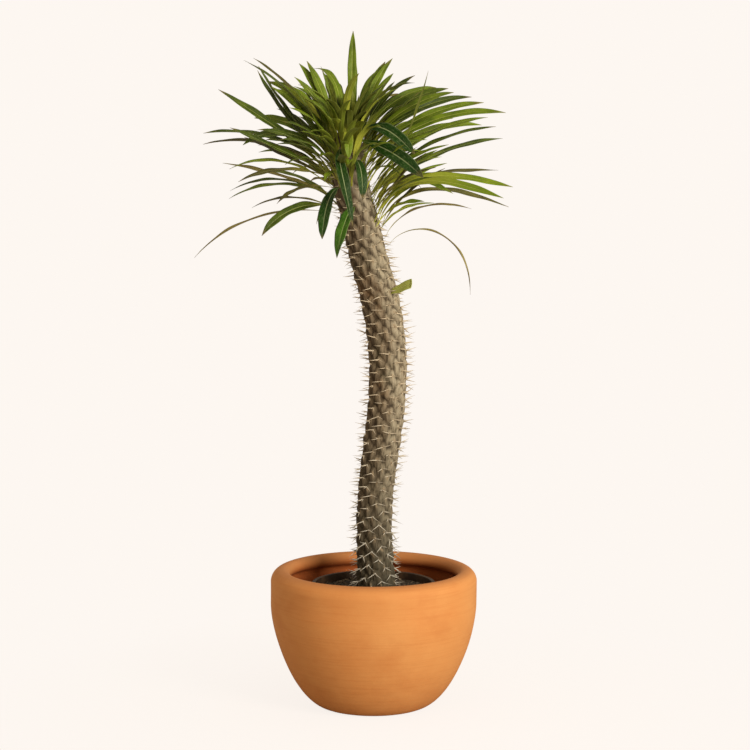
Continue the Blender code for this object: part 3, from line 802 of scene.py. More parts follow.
@dataclass
class TerracottaPot:
    """The bowl pot: flat foot, curved belly, rounded shoulder and a lip rolled inwards."""

    height: float
    radius: float
    foot_radius: float = 0.0754
    belly_height: float = 0.149
    belly_power: float = 1.6
    wall: float = 0.014
    floor: float = 0.014
    shoulder: float = 0.0177
    lip_roll: float = 0.010
    lip_width: float = 0.028
    undercut_drop: float = 0.020
    foot_rounding: float = 0.0022
    sides: int = 192
    wobble: float = 0.0005

    def belly(self, foot_radius: float, foot_z: float, count: int) -> Array:
        """The flank as a superellipse quarter, from its foot to where it stands upright.

        The radius grows by a sine to the power 2 / belly_power, and the height by one minus a cosine
        to the same power.

        Args:
            foot_radius: radius at the foot.
            foot_z: height of the foot.
            count: how many points.

        Returns:
            Rows of radius and height.
        """
        turn = np.linspace(0.0, math.pi / 2, count)
        power = 2.0 / self.belly_power
        out = np.sin(turn) ** power
        up = 1.0 - np.maximum(np.cos(turn), 0.0) ** power
        return np.stack([foot_radius + (self.radius - self.foot_radius) * out,
                         foot_z + (self.belly_height - foot_z) * up], axis=1)

    def profile(self) -> tuple[Array, Array, Array]:
        """The whole section, pole to pole, with marks for the lip and the inside.

        Returns:
            Rows of radius and height, how much each row belongs to the lip, and to the inside.
        """
        lip_edge = self.radius - self.lip_width
        roll_width = self.radius - self.shoulder - lip_edge
        roll_z = self.height - self.lip_roll
        foot = np.array([[self.foot_radius * share, 0.0] for share in (0.3, 0.7, 0.94)])
        flank = self.belly(self.foot_radius, 0.0, 42)[1:]
        lift = self.foot_rounding * np.exp(-flank[:, 1] / self.foot_rounding) * 0.2
        flank[:, 1] += lift
        upright = np.linspace(self.belly_height, self.height - self.shoulder, 6)[1:-1]
        side = np.stack([np.full(len(upright), self.radius), upright], axis=1)
        shoulder = arc((self.radius - self.shoulder, self.height - self.shoulder),
                       (self.shoulder, self.shoulder), 0, 90, 18)
        roll = arc((lip_edge + roll_width, roll_z), (roll_width, self.lip_roll), 98, 235, 20)
        under_z = roll_z - self.undercut_drop
        below = arc((self.radius - self.wall - 0.006, under_z), (0.006, 0.010), 60, 0, 5)
        inner_flank = self.belly(self.foot_radius - self.wall, self.floor, 30)[::-1]
        inner_flank = inner_flank[inner_flank[:, 1] < under_z - 0.004]
        ground = np.array([[(self.foot_radius - self.wall) * share, self.floor] for share in (0.75, 0.35)])
        rows = np.vstack([foot, flank, side, shoulder, roll, below, inner_flank, ground])
        first_lip = len(foot) + len(flank) + len(side)
        lip = np.zeros(len(rows))
        lip[first_lip:first_lip + len(shoulder)] = smooth_step(np.arange(len(shoulder), dtype=float), 6, 16)
        after_roll = first_lip + len(shoulder) + len(roll)
        lip[first_lip + len(shoulder):after_roll] = smooth_step(-np.arange(len(roll), dtype=float), -14, -5)
        inside = np.zeros(len(rows))
        inside[first_lip + len(shoulder):after_roll] = smooth_step(np.arange(len(roll), dtype=float), 5, 18)
        inside[after_roll:] = 1.0
        return rows, lip, inside

    def build(self, finishes: Finishes) -> bpy.types.Object:
        """Build and dress the pot.

        Args:
            finishes: the materials.

        Returns:
            The pot.
        """
        rows, lip, inside = self.profile()
        pot = revolve("terracotta_bowl", rows, self.sides, self.wobble, 5, {"lip": lip, "inside": inside})
        points = node_points(pot)
        points[points[:, 2] < 1e-5, 2] = 0.0
        points[:, 2] = np.clip(points[:, 2], 0.0, self.height)
        pot.data.vertices.foreach_set("co", points.astype(np.float32).ravel())
        return dress(pot, finishes.of(FiredClay()), "terracotta", "terracotta_pot")


@dataclass
class NurseryPot:
    """The thin grower's pot: tapered wall, stiffening rim band and drain holes."""

    rim_radius: float
    rim_z: float
    base_z: float
    foot_radius: float = 0.060
    wall: float = 0.0015
    rim_band: float = 0.008
    rim_step: float = 0.004
    rounding: float = 0.0006
    drain_holes: int = 6
    drain_radius: float = 0.005
    drain_circle: float = 0.040
    sides: int = 120

    def wall_radius(self, z: float) -> float:
        """The wall's outside radius at a height below the rim band."""
        top = self.rim_radius - self.rim_step
        share = (z - self.base_z) / (self.rim_z - self.rim_band - self.base_z)
        return self.foot_radius + (top - self.foot_radius) * share

    def profile(self) -> Array:
        """The section, from the middle of the base, up the outside, over the rim and down inside.

        Returns:
            Rows of radius and height.
        """
        band_z = self.rim_z - self.rim_band
        soft = self.rounding
        inner = self.rim_radius - self.rim_step - self.wall
        heights = np.linspace(self.base_z + self.wall, band_z - 0.001, 14)
        outside = np.array([[self.wall_radius(z), z] for z in heights])
        base = [[self.foot_radius * share, self.base_z] for share in (0.4, 0.8, 0.97)]
        rim = np.vstack([
            arc((self.rim_radius - soft, band_z + soft), (soft, soft), -90, 0, 4),
            arc((self.rim_radius - soft, self.rim_z - soft), (soft, soft), 0, 90, 4),
            arc((inner + soft, self.rim_z - soft), (soft, soft), 90, 180, 4)])
        inside = outside[::-1] - np.array([self.wall, 0.0])
        floor = [[self.foot_radius * share, self.base_z + self.wall] for share in (0.9, 0.4)]
        return np.vstack([base, outside, rim, inside, floor])

    def drill_tool(self) -> bpy.types.Object:
        """The drain holes' cutter: short upright cylinders on a circle.

        Returns:
            A scratch object, removed once the holes are cut.
        """
        around = 20
        turns = np.arange(around) * 2.0 * math.pi / around
        loop = np.stack([self.drain_radius * np.cos(turns), self.drain_radius * np.sin(turns)], axis=1)
        levels = np.array([self.base_z - 3 * self.wall, self.base_z + 4 * self.wall])
        one = np.stack([np.column_stack([loop, np.full(around, z)]) for z in levels])
        points, quads, fans = loft(one)
        spots = np.arange(self.drain_holes) * 2.0 * math.pi / self.drain_holes
        moves = self.drain_circle * np.stack([np.cos(spots), np.sin(spots), np.zeros_like(spots)], axis=1)
        steps = np.arange(self.drain_holes)[:, None, None] * len(points)
        tool = mesh_object("drain_drill", (points[None] + moves[:, None]).reshape(-1, 3),
                           quads[None] + steps, fans[None] + steps)
        face_outwards(tool)
        return tool

    def build(self, finishes: Finishes) -> bpy.types.Object:
        """Build and dress the nursery pot.

        Args:
            finishes: the materials.

        Returns:
            The pot.
        """
        pot = revolve("grower_pot", self.profile(), self.sides, 0.0004, 9)
        tool = self.drill_tool()
        cut = pot.modifiers.new("drain_holes", "BOOLEAN")
        cut.operation = "DIFFERENCE"
        cut.solver = "EXACT"
        cut.object = tool
        drilled = bpy.data.meshes.new_from_object(
            pot.evaluated_get(bpy.context.evaluated_depsgraph_get()))
        pot.modifiers.clear()
        pot.data = drilled
        bpy.data.objects.remove(tool, do_unlink=True)
        return dress(pot, finishes.of(NurseryPlastic()), "nursery_plastic", "nursery_pot")


@dataclass
class Soil:
    """The compost: a body that fills the nursery pot, with an uneven top and loose bits on it."""

    bottom: float
    surface: float
    bottom_radius: float
    top_radius: float
    stem_x: float
    stem_radius: float
    stem_depth: float = 0.060
    mound: float = 0.004
    unevenness: float = 0.0022
    sides: int = 144
    bit_count: int = 340
    bit_size: float = 0.0024
    bit_size_spread: tuple[float, float] = (-0.35, 0.45)
    bit_reach: tuple[float, float] = (1.15, 0.97)
    bit_lift: float = 0.0004
    bit_stretch: tuple[Colour, Colour] = ((0.8, 0.5, 0.3), (1.7, 1.0, 0.6))
    bit_roughness: tuple[float, float] = (0.75, 1.2)
    bit_tilt: float = 0.35

    def top_height(self, points: Array) -> Array:
        """Height of the uneven top: a low mound at the stem, and relief that fades at the rim.

        Args:
            points: places with x and y in the first two columns.

        Returns:
            Heights in metres.
        """
        radius = np.hypot(points[..., 0], points[..., 1])
        from_stem = np.hypot(points[..., 0] - self.stem_x, points[..., 1]) - self.stem_radius
        flat = np.concatenate([points[..., :2], np.zeros_like(points[..., :1])], axis=-1)
        relief = 0.6 * ripples(flat, 0.030, 21) + 0.4 * ripples(flat, 0.009, 22)
        fade = 1.0 - smooth_step(radius, 0.85 * self.top_radius, self.top_radius)
        lift = self.mound * np.exp(-np.maximum(from_stem, 0.0) / 0.018)
        return self.surface + lift + self.unevenness * relief * (0.35 + 0.65 * fade)

    def build(self, finishes: Finishes) -> list[bpy.types.Object]:
        """Build and dress the compost and its bits.

        Args:
            finishes: the materials.

        Returns:
            The compost and the bits.
        """
        turns = np.arange(self.sides) * 2.0 * math.pi / self.sides
        circle = np.stack([np.cos(turns), np.sin(turns)], axis=1)

        def ring(radius: float, middle: float, z: float) -> Array:
            """A level circle of points about (middle, 0)."""
            return np.column_stack([radius * circle[:, 0] + middle, radius * circle[:, 1],
                                    np.full(self.sides, z)])

        below = [ring(self.bottom_radius * share, 0.0, self.bottom) for share in (0.5, 1.0)]
        wall = [ring(self.bottom_radius + (self.top_radius - self.bottom_radius) * share, 0.0,
                     self.bottom + (self.surface - self.bottom) * share)
                for share in np.linspace(0.08, 0.97, 9)]
        top = []
        for share in np.linspace(0.0, 1.0, 44):
            radius = self.top_radius + (self.stem_radius + 0.0005 - self.top_radius) * share
            loop = ring(radius, self.stem_x * share, self.surface)
            loop[:, 2] = self.top_height(loop)
            top.append(loop)
        socket = [ring(self.stem_radius + 0.0005, self.stem_x, self.surface - self.stem_depth * share)
                  for share in (0.12, 0.25)]
        socket.append(ring(self.stem_radius * 0.62 + 0.0005, self.stem_x,
                           self.surface - self.stem_depth - 0.0003))
        points, quads, fans = loft(np.stack(below + wall + top + socket))
        body = mesh_object("compost", points, quads, fans)
        face_outwards(body)
        dress(body, finishes.of(Compost()), "potting_soil", "potting_soil")
        return [body, self.bits(finishes)]

    def bits(self, finishes: Finishes) -> bpy.types.Object:
        """Loose angular bits, each a squashed twenty-sided solid turned at random.

        Args:
            finishes: the materials.

        Returns:
            One piece that holds them all.
        """
        draw = np.random.default_rng(31)
        golden = (1 + math.sqrt(5)) / 2
        base = np.array([(-1, golden, 0), (1, golden, 0), (-1, -golden, 0), (1, -golden, 0),
                         (0, -1, golden), (0, 1, golden), (0, -1, -golden), (0, 1, -golden),
                         (golden, 0, -1), (golden, 0, 1), (-golden, 0, -1), (-golden, 0, 1)])
        base = unit(base)
        faces = np.array([(0, 11, 5), (0, 5, 1), (0, 1, 7), (0, 7, 10), (0, 10, 11), (1, 5, 9), (5, 11, 4),
                          (11, 10, 2), (10, 7, 6), (7, 1, 8), (3, 9, 4), (3, 4, 2), (3, 2, 6), (3, 6, 8),
                          (3, 8, 9), (4, 9, 5), (2, 4, 11), (6, 2, 10), (8, 6, 7), (9, 8, 1)])
        count = self.bit_count
        near, far = self.stem_radius * self.bit_reach[0], self.top_radius * self.bit_reach[1]
        spread = np.sqrt(draw.uniform(near ** 2, far ** 2, count))
        turn = draw.uniform(0.0, 2.0 * math.pi, count)
        spot = np.stack([spread * np.cos(turn), spread * np.sin(turn), np.zeros(count)], axis=1)
        spot[:, 2] = self.top_height(spot) + self.bit_lift
        size = self.bit_size * draw.lognormal(*self.bit_size_spread, count)
        stretch = draw.uniform(*self.bit_stretch, (count, 3)) * size[:, None]
        shaped = base[None] * stretch[:, None] * draw.uniform(*self.bit_roughness, (count, len(base), 1))
        yaw = draw.uniform(0.0, 2.0 * math.pi, count)
        tilt = draw.normal(0.0, self.bit_tilt, count)
        tipped = np.stack([shaped[..., 0] * np.cos(tilt)[:, None] + shaped[..., 2] * np.sin(tilt)[:, None],
                           shaped[..., 1],
                           shaped[..., 2] * np.cos(tilt)[:, None] - shaped[..., 0] * np.sin(tilt)[:, None]],
                          axis=-1)
        turned = np.stack([tipped[..., 0] * np.cos(yaw)[:, None] - tipped[..., 1] * np.sin(yaw)[:, None],
                           tipped[..., 0] * np.sin(yaw)[:, None] + tipped[..., 1] * np.cos(yaw)[:, None],
                           tipped[..., 2]], axis=-1)
        points = (turned + spot[:, None]).reshape(-1, 3)
        triangles = faces[None] + (np.arange(count) * len(base))[:, None, None]
        shade = np.repeat(draw.uniform(0.0, 1.0, count) ** 1.8, len(base))
        bits = mesh_object("soil_bits", points, np.zeros((0, 4)), triangles, {"shade": shade})
        face_outwards(bits)
        bits.data.polygons.foreach_set("use_smooth", np.zeros(len(bits.data.polygons), dtype=bool))
        return dress(bits, finishes.of(Chips()), "potting_soil")


# ---- Stem --------------------------------------------------------------------------------------


@dataclass
class Stem:
    """The spiny stem: a leaning column of spiral tubercles, each with its spines."""

    node: bpy.types.Object
    soil_z: float
    tubercle_rise: float = 0.0015
    tubercle_height: float = 0.0042
    ridge_width: float = 0.0066
    ridge_above: float = 0.0080
    ridge_below: float = 0.0235
    ridge_lean: float = 0.13
    sunny_smoothing: float = 0.25
    drift: float = 0.0026
    search: int = 18
    crease_width: float = 0.20
    crease_depth: float = 0.08
    grain_height: float = 0.0009
    # Turn of the side that faces the key light; the bark's painted highlight and painted shade follow it.
    sunny_turn: float = math.radians(-35.0)
    crown_start: float = 0.500
    crown_fade: float = 0.060
    spine_set: tuple[tuple[float, float, float, float], ...] = (
        (1.0, 0.90, -0.06, 0.0185), (-1.0, 0.90, -0.06, 0.0185), (0.15, 0.9, 0.16, 0.0165))
    spine_radius: float = 0.00088
    spine_sink: float = 0.0012
    spine_sides: int = 5
    spine_length: float = 0.0180
    spine_margins: tuple[float, float] = (0.003, 0.035)
    spine_stations: tuple[float, ...] = (0.0, 0.22, 0.55, 0.84)
    sides: int = 132
    loops: int = 700
    buried: float = 0.060
    heights: Array = field(default_factory=lambda: np.zeros(0))
    middles: Array = field(default_factory=lambda: np.zeros(0))
    radii: Array = field(default_factory=lambda: np.zeros(0))

    def __post_init__(self) -> None:
        """Read the middle line and the radius from the CAD stem's level rings."""
        points = node_points(self.node)
        level = np.round(points[:, 2], 5)
        heights = np.unique(level)
        heights = heights[(heights > self.soil_z - 1e-4) & (heights < points[:, 2].max() - 1e-4)]
        rings = [points[level == height] for height in heights]
        middles = np.array([0.5 * (r[:, 0].min() + r[:, 0].max()) for r in rings])
        radii = np.array([np.hypot(r[:, 0] - m, r[:, 1]).mean() for r, m in zip(rings, middles)])
        window = np.hanning(11)
        window /= window.sum()
        self.heights = heights - self.soil_z
        self.middles = self.smoothed(middles, window)
        self.radii = self.smoothed(radii, window)
        self.radii[-6:] = radii[-6:]

    @staticmethod
    def smoothed(values: Array, window: Array) -> Array:
        """Average each value with its neighbours, with the ends held straight.

        Args:
            values: evenly spaced numbers.
            window: weights that add up to one.

        Returns:
            As many numbers.
        """
        half = len(window) // 2
        before = 2 * values[0] - values[half:0:-1]
        after = 2 * values[-1] - values[-2:-half - 2:-1]
        return np.convolve(np.concatenate([before, values, after]), window, mode="valid")

    @property
    def top(self) -> float:
        """Height of the growing tip's last ring above the soil."""
        return float(self.heights[-1])

    def line(self, height: Array) -> tuple[Array, Array]:
        """The middle's x and the radius at heights above the soil.

        Args:
            height: heights in metres.

        Returns:
            The x values and the radii.
        """
        return (np.interp(height, self.heights, self.middles), np.interp(height, self.heights, self.radii))

    def strength(self, height: Array) -> Array:
        """How tall the tubercles are at a height: they fade in at the soil and out in the crown.

        Args:
            height: heights above the soil.

        Returns:
            Numbers from 0 to 1.
        """
        inwards = np.clip((height + 0.006) / 0.020, 0.0, 1.0)
        outwards = 1.0 - 0.55 * np.clip((height - self.crown_start) / self.crown_fade, 0.0, 1.0)
        return inwards * outwards

    def tubercles(self) -> tuple[Array, Array]:
        """Turn and height of every tubercle on the one spiral, a golden angle apart.

        Returns:
            Turns in radians and heights above the soil.
        """
        number = np.arange(int(self.top / self.tubercle_rise))
        return -number * GOLDEN_TURN, (number + 0.5) * self.tubercle_rise

    def relief(self, turn: Array, height: Array, radius: Array) -> Array:
        """Relief at rows of points that share a height.

        Each tubercle is a lump that is steep above its tip and runs out below it. Its level falls with
        the stretched distance from the tip; a point takes the highest of the lumps near it, and the
        gap to the second highest deepens the crease between two lumps.

        Args:
            turn: turns of shape (rows, points).
            height: one height for each row.
            radius: one radius for each row.

        Returns:
            Relief from 0 in a pit to 1 on a tip.
        """
        tip_turn, tip_height = self.tubercles()
        place = np.stack([radius[:, None] * np.cos(turn), radius[:, None] * np.sin(turn),
                          np.repeat(height[:, None], turn.shape[1], axis=1)], axis=-1)
        turn = turn + ripples(place, 0.022, 43) * (self.drift / radius)[:, None]
        climb = height[:, None] + ripples(place, 0.022, 44) * self.drift
        steps = np.arange(-self.search, self.search + 1)
        nearest = np.clip((height / self.tubercle_rise).astype(int)[:, None] + steps, 0, len(tip_turn) - 1)
        across = (turn[:, :, None] - tip_turn[nearest][:, None, :] + math.pi) % (2 * math.pi) - math.pi
        up = climb[:, :, None] - tip_height[nearest][:, None, :]
        across = (across * radius[:, None, None] + self.ridge_lean * up) / self.ridge_width
        up = np.where(up > 0.0, up / self.ridge_above, up / self.ridge_below)
        level = 1.0 - np.hypot(across, up)
        level = np.sort(level, axis=-1)
        best, second = level[..., -1], level[..., -2]
        crease = 1.0 - smooth_step(best - second, 0.0, self.crease_width)
        lump = smooth_step(best, -0.35, 1.0)
        return np.clip(lump - self.crease_depth * crease, 0.0, 1.0)

    def surface(self, turn: Array, height: Array) -> tuple[Array, Array]:
        """Points on the bark, and their relief.

        A point lies at the radius plus the relief times the tubercle's height, round the leaning middle
        line.

        Args:
            turn: turns of shape (rows, points).
            height: one height above the soil for each row.

        Returns:
            Points of shape (rows, points, 3) and relief of shape (rows, points).
        """
        middle, radius = self.line(height)
        relief = self.relief(turn, height, radius)
        relief_and_wear = 1.0 - self.sunny_smoothing * smooth_step(np.cos(turn - self.sunny_turn), 0.2, 1.0)
        swell = self.tubercle_height * self.strength(height)[:, None] * relief_and_wear * (relief - 0.55)
        out = radius[:, None] + swell
        level = np.repeat((self.soil_z + height)[:, None], turn.shape[1], axis=1)
        points = np.stack([middle[:, None] + out * np.cos(turn), out * np.sin(turn), level], axis=-1)
        long_grain = ripples(points * np.array([1.0, 1.0, 0.28]), 0.0058, 41) * self.grain_height
        points[..., :2] += long_grain[..., None] * np.stack([np.cos(turn), np.sin(turn)], axis=-1)
        return points, relief

    def build(self, finishes: Finishes) -> list[bpy.types.Object]:
        """Build and dress the stem and its spines.

        Args:
            finishes: the materials.

        Returns:
            The stem and the spines.
        """
        turns = np.arange(self.sides) * 2.0 * math.pi / self.sides
        rows, reliefs, rises = [], [], []
        butt_middle, butt_radius = (float(v[0]) for v in self.line(np.zeros(1)))
        for share, depth in ((0.55, 1.0), (0.62, 0.97), (1.0, 0.25)):
            ring = np.column_stack([butt_middle + butt_radius * share * np.cos(turns),
                                    butt_radius * share * np.sin(turns),
                                    np.full(self.sides, self.soil_z - self.buried * depth)])
            rows.append(ring[None])
            reliefs.append(np.full((1, self.sides), 0.3))
            rises.append(np.zeros(1))
        height = np.linspace(0.0, self.top, self.loops)
        body, relief = self.surface(np.repeat(turns[None], self.loops, axis=0), height)
        rows.append(body)
        reliefs.append(relief)
        rises.append(height)
        tip_middle, tip_radius = (float(v[0]) for v in self.line(np.array([self.top])))
        for angle in (28.0, 52.0, 74.0):
            lean = math.radians(angle)
            ring = np.column_stack([tip_middle + tip_radius * math.cos(lean) * np.cos(turns),
                                    tip_radius * math.cos(lean) * np.sin(turns),
                                    np.full(self.sides, self.soil_z + self.top
                                            + 0.35 * tip_radius * math.sin(lean))])
            rows.append(ring[None])
            reliefs.append(np.full((1, self.sides), 0.5))
            rises.append(np.array([self.top]))
        grid = np.concatenate(rows)
        points, quads, fans = loft(grid)
        rise = np.repeat(np.concatenate(rises)[:, None], self.sides, axis=1)
        # How squarely each side faces the key light, which the bark reads for its painted highlight and painted
        # shade.
        lit_side = np.repeat(np.cos(turns - self.sunny_turn)[None], len(grid), axis=0)
        stem = mesh_object("stem_bark", points, quads, fans, {
            "relief": loft_numbers(np.concatenate(reliefs)), "rise": loft_numbers(rise),
            "lit_side": loft_numbers(lit_side)})
        face_outwards(stem)
        dress(stem, finishes.of(Bark()), "stem_bark", "stem")
        return [stem, self.spines(finishes)]

    def spines(self, finishes: Finishes) -> bpy.types.Object:
        """Three spines on each tubercle: two spread sideways, and a shorter one stands out and up.

        Each row of spine_set gives a spine's side, spread, lift and length. A spine is a cone along a slightly
        bent line: base + direction * s + droop * s^2, with a radius
        that falls as (1 - s) to the power 0.8.

        Args:
            finishes: the materials.

        Returns:
            One piece that holds them all.
        """
        draw = np.random.default_rng(53)
        turn, height = self.tubercles()
        kept = (height > self.spine_margins[0]) & (height < self.top - self.spine_margins[1])
        turn, height = turn[kept], height[kept]
        count = len(turn)
        crown = smooth_step(height, self.crown_start - 0.02, self.crown_start + 0.09)
        low = 1.0 - smooth_step(height, 0.03, 0.20)
        base = np.concatenate([self.surface(turn[k:k + 1, None], height[k:k + 1])[0] for k in range(count)])
        base = base.reshape(-1, 3)
        outward = np.stack([np.cos(turn), np.sin(turn), np.zeros(count)], axis=1)
        sideways = np.stack([-np.sin(turn), np.cos(turn), np.zeros(count)], axis=1)
        upward = np.array([[0.0, 0.0, 1.0]])
        sets = []
        for side, spread, lift, long in self.spine_set:
            sag = lift - 0.40 * low * (abs(side) > 0.5) + draw.normal(0.0, 0.18, count)
            out = draw.uniform(0.50, 0.95, count) if abs(side) > 0.5 else np.full(count, 1.0)
            direction = unit(outward * out[:, None]
                             + sideways * (side * spread + draw.normal(0.0, 0.16, count))[:, None]
                             + upward * sag[:, None])
            length = long * draw.uniform(0.66, 1.12, count) * (1.0 - 0.35 * crown)
            sets.append((direction, length))
        directions = np.concatenate([s[0] for s in sets])
        lengths = np.concatenate([s[1] for s in sets])
        roots = np.concatenate([base] * len(self.spine_set)) - directions * self.spine_sink
        thick = self.spine_radius * draw.uniform(0.8, 1.2, len(lengths)) * (lengths / self.spine_length) ** 0.4
        bends = draw.normal(0.0, 0.06, (len(lengths), 3)) * lengths[:, None]
        stations = np.array(self.spine_stations)
        around = self.spine_sides
        spin = np.arange(around) * 2.0 * math.pi / around
        first = unit(np.cross(directions, np.array([[0.3, 0.2, 0.93]])))
        second = np.cross(directions, first)
        shares = stations[None, :, None]
        line = (roots[:, None] + directions[:, None] * lengths[:, None, None] * shares
                + bends[:, None] * shares ** 2)
        ring = (first[:, None, None] * np.cos(spin)[None, None, :, None]
                + second[:, None, None] * np.sin(spin)[None, None, :, None])
        taper = (1.0 - stations) ** 0.8
        loops = line[:, :, None] + ring * (thick[:, None] * taper[None])[:, :, None, None]
        tips = roots + directions * lengths[:, None] + bends
        total, rings = len(lengths), len(stations)
        one = rings * around + 2
        points = np.concatenate([loops.reshape(total, -1, 3), roots[:, None], tips[:, None]], axis=1)
        row = np.arange(rings - 1)[:, None] * around
        column = np.arange(around)[None]
        after = (column + 1) % around
        quads = np.stack([row + column, row + after, row + around + after, row + around + column],
                         axis=-1).reshape(-1, 4)
        last = (rings - 1) * around
        loop, turned = np.arange(around), (np.arange(around) + 1) % around
        fans = np.concatenate([np.stack([np.full(around, one - 2), turned, loop], axis=-1),
                               np.stack([np.full(around, one - 1), last + loop, last + turned], axis=-1)])
        steps = (np.arange(total) * one)[:, None, None]
        along = np.concatenate([np.repeat(stations, around), [0.0, 1.0]])
        rise = np.repeat(np.concatenate([height] * len(self.spine_set)), one)
        spines = mesh_object("spines", points.reshape(-1, 3), quads[None] + steps, fans[None] + steps,
                             {"along": np.tile(along, total), "rise": rise})
        face_outwards(spines)
        return dress(spines, finishes.of(SpineHorn()), "stem_bark")


# ---- Leaves ------------------------------------------------------------------------------------


@dataclass
class LeafLine:
    """A leaf's middle line, with its up direction and width at each point."""

    points: Array
    up: Array
    width: Array

    @classmethod
    def from_node(cls, node: bpy.types.Object) -> LeafLine:
        """Read the line back from a CAD leaf, whose rings have four corners and whose tip is a point.

        The rings are the sets of vertices at equal steps from the tip. Counted from any other vertex
        the sets slant along the leaf, so the start whose sets are shortest is the tip. In each ring,
        the two corners furthest apart are the edges, and the other two are the top and the bottom of
        the fold.

        Args:
            node: the CAD leaf.

        Returns:
            The line, from base to tip.
        """
        rough = node_points(node)
        keys, index = np.unique(np.round(rough, 5), axis=0, return_inverse=True)
        index = index.ravel()
        corners = np.zeros(len(node.data.polygons) * 3, dtype=np.int32)
        node.data.polygons.foreach_get("vertices", corners)
        corners = index[corners].reshape(-1, 3)
        near = np.zeros((len(keys), len(keys)), dtype=bool)
        for a, b in ((0, 1), (1, 2), (2, 0)):
            near[corners[:, a], corners[:, b]] = True
            near[corners[:, b], corners[:, a]] = True
        levels = [cls.steps_from(near, start) for start in np.flatnonzero(near.sum(axis=1) == 4)]
        ringed = [level for level in levels if np.all(np.bincount(level)[1:] == 4)]
        spread = [sum(np.linalg.norm(np.ptp(keys[level == step], axis=0)) for step in range(1, level.max() + 1))
                  for level in ringed]
        level = ringed[int(np.argmin(spread))]
        rings = np.stack([keys[level == step] for step in range(level.max(), 0, -1)])
        return cls.from_rings(rings, keys[level == 0][0])

    @staticmethod
    def steps_from(near: Array, start: int) -> Array:
        """How many edges lie between each vertex and a start.

        Args:
            near: which vertices share an edge.
            start: the vertex to count from.

        Returns:
            A count for each vertex.
        """
        level = np.full(len(near), -1)
        front = np.zeros(len(near), dtype=bool)
        front[start] = True
        step = 0
        while front.any():
            level[front] = step
            front = near[front].any(axis=0) & (level < 0)
            step += 1
        return level

    @classmethod
    def from_rings(cls, rings: Array, tip: Array) -> LeafLine:
        """The line through the middles of four-cornered rings, ending at a tip.

        Args:
            rings: corners of shape (rings, 4, 3), from the base.
            tip: the tip's place.

        Returns:
            The line.
        """
        gaps = np.linalg.norm(rings[:, :, None] - rings[:, None], axis=-1)
        pick = np.arange(len(rings))
        flat = gaps.reshape(len(rings), -1).argmax(axis=1)
        left, right = flat // 4, flat % 4
        edges = 0.5 * (rings[pick, left] + rings[pick, right])
        spine = (rings.sum(axis=1) - 2.0 * edges) / 2.0
        up = unit(edges - spine)
        width = gaps[pick, left, right]
        return cls(np.vstack([spine, tip]), np.vstack([up, up[-1]]), np.append(width, 0.0))

    @classmethod
    def grown(cls, stem: Stem, habit: LeafHabit) -> LeafLine:
        """Grow a line by rule: its elevation falls along its length, its heading turns, and its face rolls.

        Args:
            stem: the stem that it grows on.
            habit: how it grows.

        Returns:
            The line.
        """
        shape = LeafShape()
        share = np.linspace(0.0, 1.0, shape.stations)
        drooped = share ** habit.bend if habit.bend >= 1.0 else 1.0 - (1.0 - share) ** (1.0 / habit.bend)
        elevation = habit.rise - habit.droop * drooped
        course = habit.heading + habit.sweep * share
        forward = np.stack([np.cos(elevation) * np.cos(course), np.cos(elevation) * np.sin(course),
                            np.sin(elevation)], axis=1)
        side = np.stack([-np.sin(course), np.cos(course), np.zeros_like(course)], axis=1)
        middle, radius = (float(v[0]) for v in stem.line(np.array([habit.height])))
        out = radius + shape.stand_off
        root = np.array([middle + out * math.cos(habit.heading), out * math.sin(habit.heading),
                         stem.soil_z + habit.height])
        between = 0.5 * (forward[1:] + forward[:-1]) * (habit.length / (len(share) - 1))
        points = np.vstack([root, root + np.cumsum(between, axis=0)])
        opening = shape.foot_width + (1.0 - shape.foot_width) * np.sin(
            math.pi / 2 * np.minimum(1.0, share / shape.full_width_at))
        past = np.maximum(0.0, (share - shape.taper_from) / (1.0 - shape.taper_from))
        taper = 1.0 - past ** shape.taper_power
        rolled = np.minimum(1.0, share / shape.rolled_by)[:, None]
        roll = habit.roll * rolled * math.copysign(1.0, math.cos(habit.heading))
        up = np.cross(forward, side) * np.cos(roll) - side * np.sin(roll)
        return cls(points, up, habit.width * opening * taper)

    def rolled(self, angle: float) -> LeafLine:
        """The same line with its face rolled further towards the front.

        Args:
            angle: the roll in radians.

        Returns:
            The rolled line.
        """
        forward = unit(np.gradient(self.points, axis=0))
        side = unit(np.cross(self.up, forward))
        towards = -np.sign(side[len(side) // 2, 1])
        up = self.up * math.cos(angle) + side * towards * math.sin(angle)
        return LeafLine(self.points, up, self.width)

    def resampled(self, count: int, root: Array) -> tuple[Array, Array, Array, Array]:
        """Even stations along the line, started from a root inside the stem.

        Args:
            count: how many stations.
            root: where the leaf's base meets the stem.

        Returns:
            Shares of the length, points, up directions and widths.
        """
        points = np.vstack([root, self.points])
        up = np.vstack([self.up[0], self.up])
        width = np.concatenate([[self.width[0] * 1.15], self.width])
        steps = np.concatenate([[0.0], np.cumsum(np.linalg.norm(np.diff(points, axis=0), axis=1))])
        knots = steps / steps[-1]
        share = np.linspace(0.0, 1.0, count)
        share = share + 0.06 * np.sin(2 * math.pi * share) / (2 * math.pi)
        line = through_points(knots, points, share)
        lifted = unit(np.stack([np.interp(share, knots, up[:, axis]) for axis in range(3)], axis=1))
        full = np.maximum(through_points(knots, width[:, None], share)[:, 0], 0.0)
        return share, line, lifted, full * (0.50 + 0.50 * smooth_step(share, 0.06, 0.46))


@dataclass(frozen=True)
class LeafShape:
    """The outline that rule-grown leaves share: shares of the length and of the full width."""

    stations: int = 25
    foot_width: float = 0.50
    full_width_at: float = 0.55
    taper_from: float = 0.60
    taper_power: float = 2.8
    rolled_by: float = 0.30
    stand_off: float = 0.0022


